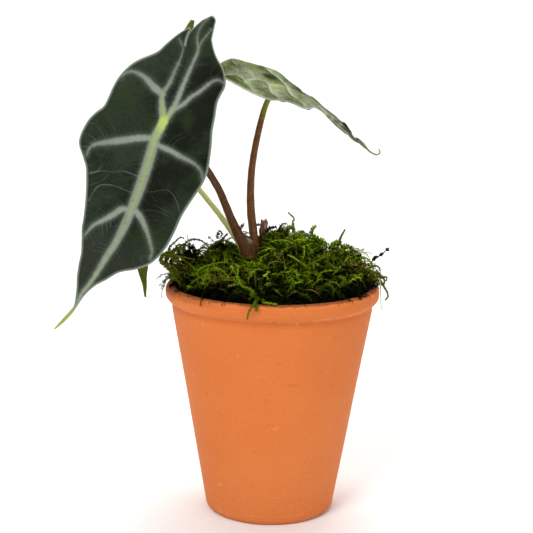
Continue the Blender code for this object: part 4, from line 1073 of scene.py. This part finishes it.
class Tangle:
    """Gathers strands and leaflets into one mesh with a shade for each point."""

    def __init__(self):
        self.points, self.faces, self.tone, self.lit = [], [], [], []
        self.count = 0

    def put(self, points, faces, tone, lit):
        self.points.append(points)
        self.faces.append(faces + self.count)
        self.tone.append(np.full(len(points), tone))
        self.lit.append(lit)
        self.count += len(points)

    def strand(self, path, width, tone, lit, sides=3, taper=0.72):
        radii = width * (1.0 - taper * np.linspace(0.0, 1.0, len(path)) ** 1.5)
        start = [draw.uniform(-1, 1) for _ in range(3)]
        points, quads = tube(path, radii, sides, start)
        faces = np.vstack([quads[:, [0, 1, 2]], quads[:, [0, 2, 3]]])
        self.put(points, faces, tone, np.repeat(lit, sides))

    def leaflets(self, path, spacing, size, tone, lit, spread=0.75):
        """Small pointed leaves in a spiral along a path."""
        run = run_along(path)
        at = np.arange(spacing, run[-1], spacing)
        if len(at) == 0:
            return

        def on_path(where):
            return np.stack([np.interp(where, run, path[:, k]) for k in range(3)], 1)

        share = at / run[-1]
        base = on_path(at)
        ahead = unit(on_path(np.minimum(at + 0.3, run[-1])) - on_path(at - 0.3))
        turn = np.arange(len(at)) * LEAFLET_TURN + draw.uniform(0.0, 6.0)
        first = unit(np.cross(ahead, (0.3, 0.5, 0.81)))
        second = np.cross(ahead, first)
        out = np.cos(turn)[:, None] * first + np.sin(turn)[:, None] * second
        length = (size * (1.0 - 0.55 * share) * (0.8 + 0.4 * np.sin(turn * 5.1) ** 2))[:, None]
        heading = ahead * (1.0 - 0.4 * spread) + out * spread
        flat_on = np.cross(ahead, out)
        roll = (turn * 1.7)[:, None]
        wide = np.cos(roll) * flat_on + np.sin(roll) * np.cross(heading, flat_on)
        middle = base + heading * (0.45 * length)
        half = (0.22 * length) * wide
        tip = base + heading * length + 0.15 * length * ahead
        points = np.stack([base, middle - half, tip, middle + half], 1).reshape(-1, 3)
        corner = (np.arange(len(at)) * 4)[:, None]
        faces = np.vstack([corner + [0, 1, 2], corner + [0, 2, 3]])
        uneven = np.sin(turn * 12.99) * 43758.5
        shade = np.interp(at, run, lit) * (0.35 + 0.95 * (uneven - np.floor(uneven)))
        self.put(points, faces, tone, np.repeat(shade * (0.85 + 0.25 * out[:, 2]), 4))

    def piece(self, name, skin):
        return mesh_piece(name, np.vstack(self.points), np.vstack(self.faces), skin, {
            "tone": np.concatenate(self.tone), "lit": np.concatenate(self.lit)}, smooth=False)


def lit_at(path):
    """How much light reaches each point of a path: more high up, less in the hollows."""
    lit = []
    for x, y, z in path:
        hill = clump(x, y)
        height = (z - mound_height(x, y) - hill + 4.0) / 7.0
        rim = held((z - RIM_TOP) / 9.0, 0.1) if y < 0.0 else 1.0
        rim *= 1.0 + 0.3 * held((-8.0 - x) / 12.0)
        lit.append(held(height) * held(0.8 + 0.22 * hill, 0.35) * rim)
    return np.array(lit)


def clear_of_stems(point):
    """Pushes a point out of the stalks."""
    for stem in STEMS:
        gap = point - stem
        far = np.linalg.norm(gap, axis=1)
        near = int(np.argmin(far))
        if far[near] < STEM_ROOM:
            point = stem[near] + gap[near] / (far[near] + 1e-6) * STEM_ROOM
    return point


def clear_of_pot(point):
    """Keeps a point inside the mouth, above the rim or outside it."""
    x, y, z = point
    out = math.hypot(x, y)
    if z < RIM_TOP + RIM_ROOM and MOUTH_RADIUS < out < RIM_RADIUS + 0.6:
        if out < LIP_RADIUS:
            scale = MOUTH_RADIUS / out
            return np.array([x * scale, y * scale, z])
        return np.array([x, y, RIM_TOP + RIM_ROOM])
    return point


def wander(x, y, heading, rise, length, steps, swing, sag, start_depth):
    """A strand's path that leaves the moss, arches over and settles back on it."""
    point = np.array([x, y, mound_height(x, y) + clump(x, y) - start_depth])
    path = [point]
    step = length / steps
    for _ in range(steps):
        flat = math.cos(rise)
        move = np.array([math.cos(heading) * flat, math.sin(heading) * flat, math.sin(rise)])
        x, y, z = point = point + move * step
        floor = mound_height(x, y) + clump(x, y) - SETTLE
        if z < floor and math.hypot(x, y) < mound_reach(math.atan2(y, x)):
            point = np.array([x, y, 0.5 * (z + floor)])
            rise = max(rise, -0.15)
        point = clear_of_pot(clear_of_stems(point))
        path.append(point)
        heading += swing + draw.gauss(0.0, 0.16)
        rise = max(-1.2, rise - sag + draw.gauss(0.0, 0.10))
    return np.array(path)


def spot_in_mouth(least=0.0):
    while True:
        turn = draw.uniform(0.0, math.tau)
        x, y = polar(mound_reach(turn) * math.sqrt(draw.uniform(least, 1.0)) * 0.97, turn)
        if math.hypot(x - STEM_SPOT[0], y - STEM_SPOT[1]) > STEM_SPOT_RADIUS:
            return x, y, turn


def tone_draw(x, y):
    """Olive at the left, green in the middle and khaki at the right, with some scatter."""
    region = float(np.interp(x, (-48, -28, -8, 14, 30, 42, 52),
                             (0.24, 0.36, 0.50, 0.54, 0.44, 0.22, 0.14)))
    patch = region + 0.4 * lumps(x / 7.0, y / 7.0, 33.0)
    return held(patch + draw.gauss(0.0, 0.15), 0.03, 0.97)


def shaded_packed_moss(skin):
    """The packed moss under the loose strands, painted nearly black as the shade in the gaps
    between them.
    """
    rings, spokes, widest, near_rim = 40, 120, 47.2, 45.5
    points, tone = [], []
    for i in range(rings + 1):
        radius = widest * (i / rings)
        for k in range(spokes):
            x, y = polar(radius, math.tau * k / spokes)
            z = packed_height(x, y) + 0.7 * lumps(x * 1.1, y * 1.1, 0.0)
            points.append((x, y, min(z, RIM_TOP - 3.0) if radius > near_rim else z))
            tone.append(0.3 + 0.3 * lumps(x / 3.0, y / 3.0, 9.0))
    return mesh_piece("moss_packed_shade", points, ring_quads(rings + 1, spokes), skin,
                      {"tone": tone, "lit": np.zeros(len(points))})


def leafy_strands(name, count, skin):
    """Fuzzy curling ropes all over the mound, some of them in the shade of others."""
    tangle = Tangle()
    for _ in range(count):
        x, y, turn = spot_in_mouth()
        heading = draw.uniform(0.0, math.tau)
        if math.hypot(x, y) / MOSS_RADIUS > 0.75:
            heading = turn + draw.gauss(0.0, 1.0)
        path = wander(x, y, heading, draw.uniform(-0.2, 1.1), draw.uniform(8.0, 18.0), 10,
                      draw.choice((-1, 1)) * draw.uniform(0.05, 0.42), draw.uniform(0.1, 0.36),
                      draw.uniform(-0.5, 4.0))
        path = even(path, 16)
        tone = tone_draw(x, y)
        lit = lit_at(path) * draw.uniform(0.4, 1.15)
        tangle.strand(path, draw.uniform(0.3, 0.5), tone, lit)
        tangle.leaflets(path, draw.uniform(0.2, 0.27), draw.uniform(1.2, 2.1), tone, lit, 0.95)
    return tangle.piece(name, skin)


def sprigs(name, count, skin):
    """Small fern-like sprigs with side shoots."""
    tangle = Tangle()
    for _ in range(count):
        x, y, _ = spot_in_mouth()
        heading = draw.uniform(0.0, math.tau)
        length = draw.uniform(9.0, 20.0)
        path = even(wander(x, y, heading, draw.uniform(0.1, 0.9), length, 8,
                           draw.uniform(-0.2, 0.2), draw.uniform(0.1, 0.25),
                           draw.uniform(0.0, 1.5)), 12)
        add_sprig(tangle, path, min(0.7, tone_draw(x, y) + 0.08), 0.26)
    for numbers in BRIGHT_SPRIGS:
        path = even(np.reshape(numbers, (-1, 3)), 14)
        add_sprig(tangle, path, 0.66, 0.34, np.full(14, 0.56))
    return tangle.piece(name, skin)


def add_sprig(tangle, path, tone, width, lit=None):
    lit = lit_at(path) if lit is None else lit
    tangle.strand(path, width, tone, lit)
    tangle.leaflets(path, 0.3, 1.2, tone, lit)
    side = 1.0
    for index in range(1, len(path) - 1):
        ahead = unit(path[index + 1] - path[index - 1])
        out = unit(np.cross(ahead, (0.2 * draw.gauss(0, 1), 0.2 * draw.gauss(0, 1), 1.0)) * side)
        side = -side
        reach = draw.uniform(1.4, 3.2) * (1.15 - index / len(path))
        shoot = np.array([path[index] + (ahead * 0.6 + out * 0.9) * reach * t
                          + np.array([0, 0, -0.35 * reach * t * t]) for t in (0.0, 0.4, 0.75, 1.0)])
        shade = np.full(4, lit[index])
        tangle.strand(shoot, 0.22, tone, shade)
        tangle.leaflets(shoot, 0.3, 1.1, tone, shade, 0.9)


def bare_strands(name, count, skin):
    """Thin older stems, some of them standing well out of the mass."""
    tangle = Tangle()
    for index in range(count):
        loose = index < 0.12 * count
        x, y, turn = spot_in_mouth(0.35 if loose else 0.0)
        heading = turn + draw.gauss(0.0, 0.8) if loose else draw.uniform(0.0, math.tau)
        if loose and math.sin(turn) < -0.5:
            loose = draw.random() < 0.3
        rise = draw.uniform(0.5, 1.3) if loose else draw.uniform(0.0, 0.8)
        path = wander(x, y, heading, rise, draw.uniform(10.0, 24.0), 11,
                      draw.uniform(-0.42, 0.42), draw.uniform(0.16, 0.42),
                      draw.uniform(0.0, 2.5))
        path = even(path, 22)
        lit = lit_at(path)
        tone = draw.choice((0.05, 0.12, 0.2, 0.4, 0.75, 0.9))
        tangle.strand(path, draw.uniform(0.2, 0.4), tone, lit, 4)
        if draw.random() < 0.8:
            tangle.leaflets(path, 0.4, 1.2, tone, lit)
    single = [(strand_path(*row[3:]), *row[:3]) for row in STRANDS]
    for points, tone, width, leafy in single + side_loops() + crest_loops():
        path = even(points, 30)
        bright = 0.9 if path[0][0] < -30.0 else 0.62
        lit = np.full(len(path), bright if tone > 0.1 else 0.3)
        bushy = leafy > 1.45
        tangle.strand(path, (0.5 if bushy else 1.0) * width, tone, lit, 5, 0.4)
        if leafy:
            tangle.leaflets(path, 0.11 if bushy else 0.15, 1.25 * max(leafy, 1.2), tone, lit, 0.95)
    return tangle.piece(name, skin)


def strand_path(depth, *numbers):
    """Points from one depth, or one for each point, and places across and up."""
    across, up = numbers[0::2], numbers[1::2]
    return np.stack([across, np.broadcast_to(depth, len(across)), up], 1)


def side_loops():
    """Loose loops that hang out over the rim at the left."""
    loops = []
    for _ in range(9):
        y = draw.uniform(-20.0, 14.0)
        lean = draw.uniform(0.0, 1.0)
        top = draw.uniform(126.0, 139.0)
        loops.append(([(-38.0 - 3.0 * lean, y, 115.5),
                       (-47.0 - 5.0 * lean, y + draw.gauss(0, 1.5), 0.5 * (top + 121.0)),
                       (-50.5 - 6.0 * lean, y + draw.gauss(0, 2.0), top - 2.0),
                       (-46.0 - 3.0 * lean, y + draw.gauss(0, 2.0), top + draw.uniform(-1, 3)),
                       (-39.0, y + draw.gauss(0, 2.5), top - draw.uniform(1.0, 7.0))],
                      draw.choice((0.04, 0.26, 0.3, 0.34, 0.4)), draw.uniform(0.4, 0.6),
                      draw.choice((1.0, 1.2, 1.4))))
    return loops


def crest_loops():
    """Curled strands that stand up from the ridge of the moss and over its right side."""
    up = np.array([0.0, 0.0, 1.0])
    loops = []
    for _ in range(26):
        x, y = draw.uniform(-30.0, 48.0), draw.uniform(-8.0, 16.0)
        rise = draw.uniform(2.5, 6.5)
        turn = draw.uniform(0.0, math.tau)
        out = draw.uniform(1.5, 4.5) * np.array([*polar(1.0, turn), 0.0])
        low = np.array([x, y, mound_height(x, y)])
        path = [low - 3.0 * up]
        for high, far in ((0.5, -0.4), (1.0, 0.3), (0.85, 1.2), (0.35, 1.3)):
            path.append(low + high * rise * up + far * out)
        loops.append((path, tone_draw(x, y), draw.uniform(0.4, 0.7), draw.choice((1.2, 1.5, 1.9))))
    return loops


# Strands that stand out singly: tone, half thickness, leaf size, depth or depths, then
# places across and up from root to tip
STRANDS = [
    (0.26, 0.5, 0.9, (2, 2, 2, 2, 3, 4, 5), -46.9, 129, -46.1, 134.4, -45.3, 138.8, -41.9, 140.8,
     -38.1, 140.5, -35.1, 138.6, -32.9, 135.5),
    (0.3, 0.45, 1, -6, -53.9, 130.3, -52.8, 137.5, -50.2, 140.5, -47.3, 143.1, -45.2, 142.7),
    (0.36, 0.45, 0.9, (-14, -14, -14, -14, -13, -12, -11), -48.7, 126.8, -52.8, 128.8, -56.9, 132.4,
     -55.4, 135.4, -53, 136.9, -50.5, 136.4, -48.1, 134.5),
    (0.28, 0.45, 0.8, (-16, -16, -17, -18, -20), -55.1, 134.7, -55.6, 132.2, -52.3, 131.3,
     -48.8, 129.5, -46.9, 126.4),
    (0.2, 0.4, 0.7, -10, -56.9, 133.1, -55, 135.1, -52, 133.9, -49.9, 132.2, -45.2, 129.7),
    (0.02, 0.9, 1.9, 0, -45.7, 129.4, -44.2, 133, -42.6, 136.7, -43.2, 139.3),
    (0.04, 0.8, 1.9, 1, -44.2, 128.7, -41.7, 132.4, -40.6, 135.5, -41.4, 138.1),
    (0.03, 0.9, 1.8, -2, -47.1, 127.6, -45.3, 131.8, -44, 135),
    (0.06, 0.8, 1.6, -2, -42.5, 128.2, -39.9, 131.9, -39.4, 135.6),
    (0.24, 0.75, 1.4, (7, 7, 7, 8, 9), -33.7, 134.6, -31.7, 136.7, -29.5, 138.2, -27.1, 139.6,
     -23.7, 143.2),
    (0.3, 0.3, 0.7, 8, -29.3, 140.3, -28.7, 142.9, -27.8, 144.6, -26.5, 142.8, -27.9, 140.6),
    (0.34, 0.45, 1.7, 12, -19.5, 142.4, -17.7, 145.1, -15.6, 147.8),
    (0.16, 0.3, 0, 10, -16.8, 143.3, -15.3, 144.1, -12.9, 143.4, -11.1, 141.3),
    (0.3, 0.45, 1, 4, -39.8, 128.7, -38.8, 134, -36.2, 136.6, -33.6, 135.1, -34.1, 132),
    (0.3, 0.42, 0.9, -4, -50.5, 127.9, -51.6, 132.6, -49.5, 136.3, -47, 135.3, -47, 131.6),
    (0.22, 0.45, 0.9, 3, -49, 128.7, -49.5, 134, -47.5, 137.2, -44.9, 136.7),
    (0.32, 0.42, 0.9, -8, -52.2, 126.6, -54.3, 130.7, -53.3, 133.8, -50.7, 133.9, -49.7, 130.8),
    (0.92, 0.3, 0, 0, -43.7, 139.3, -43.8, 141.9, -44, 143.7),
    (0.08, 0.8, 1.8, 6, -5.8, 140.5, -4.3, 144.2, -1.8, 146.8, 1.3, 147.4),
    (0.36, 1, 2, (-3, -3, -3, -2, -1), -5.2, 136, -4.9, 140, -3.6, 143.6, -0.6, 145.6, 3, 145),
    (0.3, 0.9, 2, (-4, -4, -4, -3), -4.4, 135, -3.4, 139, -1.6, 142, 0.8, 141.6),
    (0.42, 0.9, 2, (-3, -3, -2, -1), -1.6, 137, 0.6, 141.4, 3.4, 144.6, 5.6, 143),
    (0.1, 0.35, 0.5, (1.5, 0.8, 0.5), -9, 148.6, -7.6, 149.4, -6.2, 149.2),
    (0.2, 0.8, 1.8, 5, -3.7, 139.1, -1.2, 142.8, 1.8, 145.5, 4.9, 146.6),
    (0.05, 0.5, 1.1, 5, 0.4, 140.8, 2.4, 145.5, 4.4, 148.9, 6.7, 149.7),
    (0.6, 0.6, 0.9, 5, 11, 140.9, 10.5, 146.2, 9.9, 150.5, 10.6, 151.6, 9.7, 153.2, 7.5, 155.2),
    (0.86, 0.7, 1.5, 3, 5.5, 139.6, 9.6, 143.3, 13.7, 144.5, 15.8, 142.4),
    (0.68, 1.3, 2, 1, 25.1, 138.7, 22.3, 142.4, 19.8, 144, 19.4, 146, 20.4, 148.1, 21.6, 149.2),
    (0.66, 1.3, 2.1, 2, 21, 137.5, 23, 141.1, 25.6, 141.2, 27.2, 138.1),
    (0.3, 0.75, 0.9, 0, 32.3, 135.9, 33.3, 140, 34.5, 143.5, 36.6, 147.7),
    (0.72, 1, 1.9, 0, 29.7, 136.9, 31.1, 140.1, 33.7, 141.1, 35.3, 138.6),
    (0.7, 1, 1.9, -2, 34.8, 135.3, 36.2, 138.9, 39.3, 139, 40.4, 135.9),
    (0.2, 0.7, 1.5, -3, 38.8, 134.5, 40.8, 137.6, 42.3, 136.1),
    (0.64, 0.5, 0.9, (-2, -2, -2, -3, -4), 40.5, 130.7, 43.2, 133.3, 46.7, 133.6, 49.2, 132.4,
     51.4, 129.2),
    (0.08, 0.45, 0.7, -2, 44.1, 130.2, 43.8, 133.3, 45, 135.7),
    (0.05, 0.4, 0, -2, 49.2, 129.8, 50.6, 131.6, 52.2, 133.3, 55.6, 135.5, 58.8, 138.6),
    (0.02, 1, 1.3, -2, 51.2, 132.2, 52.4, 133.9, 53.7, 134),
    (0.02, 0.75, 0.9, -2, 54.6, 134.8, 55.7, 135.7, 56.5, 136.1),
    (0.04, 0.6, 0.6, -2, 57.7, 137.4, 58.7, 138.4, 59.1, 138.7),
    (0.24, 0.6, 1.2, -8, 47.4, 127.3, 50.3, 130.4, 53.4, 130.2, 54.7, 127.9),
    (0.2, 0.6, 1.2, -10, 48.3, 125.6, 51.8, 127.8, 55.4, 125.2, 57.8, 125.3, 57.6, 123.2),
    (0.34, 0.55, 1, -10, 50.3, 125.7, 53.6, 124.4, 56.2, 120.7, 58.3, 117.4, 58.7, 114.9,
     57.2, 113.2),
    (0.93, 0.32, 0, -14, 52, 126, 53.9, 124.5, 54.6, 118.8, 55, 111.7, 55.9, 108.6),
    (0.3, 0.6, 1.3, -14, 51.1, 124.4, 53.5, 127, 56.1, 125, 56.2, 121.9),
    (0.15, 0.7, 1.5, -6, 39.3, 128.8, 42.3, 132, 45.9, 130, 47.5, 126.4),
    (0.17, 0.7, 1.5, -10, 42.2, 126.6, 45.1, 129.7, 49.2, 127.7, 50.9, 124.1),
    (0.13, 0.7, 1.6, -8, 36.2, 128.1, 39.1, 132.3, 42.2, 130.3, 43.3, 126.2),
    (0.5, 0.45, 1.2, (-44, -53, -56.6, -56.6, -56), -6.6, 121.1, -7.7, 120.9, -9.2, 119.4,
     -11.1, 116.2, -11.7, 112.9),
    (0.48, 0.4, 1, (-55, -56.6, -56.6), -8.2, 120.3, -7.2, 118.4, -7.6, 117),
    (0.62, 0.45, 1.2, (-44, -51.5, -54, -54.6), -4.5, 119.5, -3.9, 120.2, -0.6, 120.2, 2.4, 119.9),
]
# Bright sprigs on the front of the moss, with all three coordinates of their points
BRIGHT_SPRIGS = [
    [-36.7, -30, 128.1, -36, -33, 131.7, -34, -35, 133.6, -30.9, -36, 134.9, -26, -36, 136.2,
     -21.2, -36, 136.3],
    [-32.6, -34, 134, -31.6, -37, 132.5, -32.9, -40, 129.5, -33.7, -42, 126.5],
    [-29.7, -34, 135, -27.5, -38, 133.8, -24.6, -39, 133.1, -22.6, -40, 130.9],
    [-17.8, -38, 130.1, -16.5, -40, 128.9, -15.2, -42, 126.5, -13.6, -43, 125.1],
    [-24.2, 2, 136.7, -21, -2, 135.4, -16.7, -8, 135, -13.1, -12, 132.2],
    [13.5, -20, 134.1, 16.5, -22, 132.5, 19, -24, 129.9, 22.4, -25, 128.2],
    [6.5, -28, 130.5, 9.5, -30, 128.9, 13.4, -31, 127.7, 14.9, -32, 124.9],
    [5, -4, 137.2, 7.1, -8, 134.9, 10.2, -10, 132.2, 11.7, -12, 128.5],
]
LEAFY_ROPES, SPRIGS, BARE_STEMS = 720, 190, 260
CRUMBS, CRUMB_HEIGHT = 90, 118.95


def moss_skin(name, deep, full):
    skin = Skin(name, 0.9, specular=0.05)
    colour = skin.colours(
        skin.read("tone"), (0.0, 38, 26, 10), (0.14, 120, 112, 44), (0.30, 84, 90, 14),
        (0.5, 86, 110, 6), (0.68, 118, 150, 14), (0.82, 156, 174, 50), (0.95, 168, 168, 100))
    colour = skin.mix(skin.noise(420.0, 3.0, 0.6).ramp(0.35, 0.65) * 0.4, colour, srgb(62, 76, 6))
    shade = skin.read("lit").ramp(0.1, 1.0, deep, full)
    return skin.done(skin.mix(1.0, colour, skin.vector(shade, shade, shade), "MULTIPLY"))


def crumbs():
    """Crumbs of potting mix on the rim."""
    points, faces = [], []
    turns = [draw.uniform(0.0, math.tau) for _ in range(CRUMBS)]
    places = [polar(draw.uniform(50.9, 53.6), turn) for turn in turns]
    corners = np.array([(1, 0, 0), (0, 1, 0), (-1, 0, 0), (0, -1, 0), (0, 0, 1), (0, 0, -1)])
    for x, y in places:
        size = draw.uniform(0.18, 0.55)
        middle = np.array([x, y, CRUMB_HEIGHT])
        grown = corners * size * np.array([[draw.uniform(0.7, 1.3)] for _ in range(6)])
        first = len(points)
        points.extend((middle + grown).tolist())
        for k in range(4):
            after = first + (k + 1) % 4
            faces += [(first + k, after, first + 4), (after, first + k, first + 5)]
    skin = Skin("crumbs", 0.95, specular=0.1)
    skin.done(skin.mix(skin.noise(300.0), srgb(40, 24, 12), srgb(88, 56, 30)))
    finish_piece(mesh_piece("rim_crumbs", points, faces, skin.material, None, False), "soil")


crumbs()
green = moss_skin("moss", 0.04, 1.9)
# Real packed moss, painted nearly black as the shade in the gaps between the strands.
dark = moss_skin("moss_packed_shade", 0.05, 0.05)
for piece in (shaded_packed_moss(dark), leafy_strands("moss_leafy_a", LEAFY_ROPES, green),
              leafy_strands("moss_leafy_b", LEAFY_ROPES, green),
              sprigs("moss_sprigs", SPRIGS, green), bare_strands("moss_stems", BARE_STEMS, green)):
    finish_piece(piece, "moss", "moss")


# Floor, light and camera, in metres

PHOTO_PIXELS = 533.0
FOCAL_PIXELS = 1287.0
SENSOR = 36.0
EYE = (0.0, -0.650, 0.252)
PITCH, YAW, ROLL = 0.1889, 0.0050, 0.0159
FLOOR_FRONT, FLOOR_FAR, FLOOR_HALF = -4.0, 1.6, 6.0
SWEEP_RADIUS, SWEEP_STEPS, SWEEP_TOP = 1.2, 24, 5.0
ROOM_LIGHT = 0.34


def stage():
    """A floor that sweeps up into a backdrop without an edge, and the lights."""
    profile = [(FLOOR_FRONT, 0.0), (FLOOR_FAR, 0.0)]
    for k in range(1, SWEEP_STEPS + 1):
        turn = math.pi / 2 * k / SWEEP_STEPS
        profile.append((FLOOR_FAR + SWEEP_RADIUS * math.sin(turn),
                        SWEEP_RADIUS * (1.0 - math.cos(turn))))
    profile.append((FLOOR_FAR + SWEEP_RADIUS, SWEEP_TOP))
    points = [(x, y, z) for y, z in profile for x in (-FLOOR_HALF, FLOOR_HALF)]
    faces = [(2 * k, 2 * k + 1, 2 * k + 3, 2 * k + 2) for k in range(len(profile) - 1)]
    skin = Skin("floor", 0.9, specular=0.1)
    skin.done(skin.mix(skin.noise(4.0, 3.0), srgb(243, 243, 242), srgb(248, 248, 247)))
    floor = new_object("floor", points, faces, skin.material)
    world = bpy.data.worlds.new("studio")
    world.use_nodes = True
    background = world.node_tree.nodes["Background"].inputs
    background["Color"].default_value = (1.0, 1.0, 1.0, 1.0)
    background["Strength"].default_value = ROOM_LIGHT
    bpy.context.scene.world = world
    softbox("key", (-0.55, -1.05, 1.25), 0.6, 14.5)
    softbox("fill", (0.95, -0.75, 0.75), 0.9, 3.6)
    softbox("top", (0.1, 0.35, 1.4), 0.6, 5.5)
    softbox("backdrop", (0.0, 0.9, 2.2), 2.0, 45.0, (0.0, 2.7, 0.5))


def softbox(name, place, size, power, target=(0.0, 0.0, 0.13)):
    light = bpy.data.lights.new(name, "AREA")
    light.shape = "SQUARE"
    light.size = size
    light.energy = power
    lamp = bpy.data.objects.new(name, light)
    lamp.location = Vector(place) + Vector(AXIS)
    aim = Vector(target) + Vector(AXIS) - lamp.location
    lamp.rotation_euler = aim.to_track_quat("-Z", "Y").to_euler()
    bpy.context.scene.collection.objects.link(lamp)


def camera():
    """The photograph's viewpoint, found from the pot's rim, its foot and the blades."""
    lens = bpy.data.cameras.new("camera")
    lens.sensor_width = SENSOR
    lens.lens = FOCAL_PIXELS / PHOTO_PIXELS * SENSOR
    eye = bpy.data.objects.new("camera", lens)
    turn = Matrix.Rotation(YAW, 4, "Z") @ Matrix.Rotation(-PITCH, 4, "X")
    turn = turn @ Matrix.Rotation(math.pi / 2, 4, "X") @ Matrix.Rotation(ROLL, 4, "Z")
    eye.matrix_world = Matrix.Translation(Vector(EYE) + Vector(AXIS)) @ turn
    bpy.context.scene.collection.objects.link(eye)
    bpy.context.scene.camera = eye


stage()
camera()
bpy.context.scene.view_settings.view_transform = "Standard"
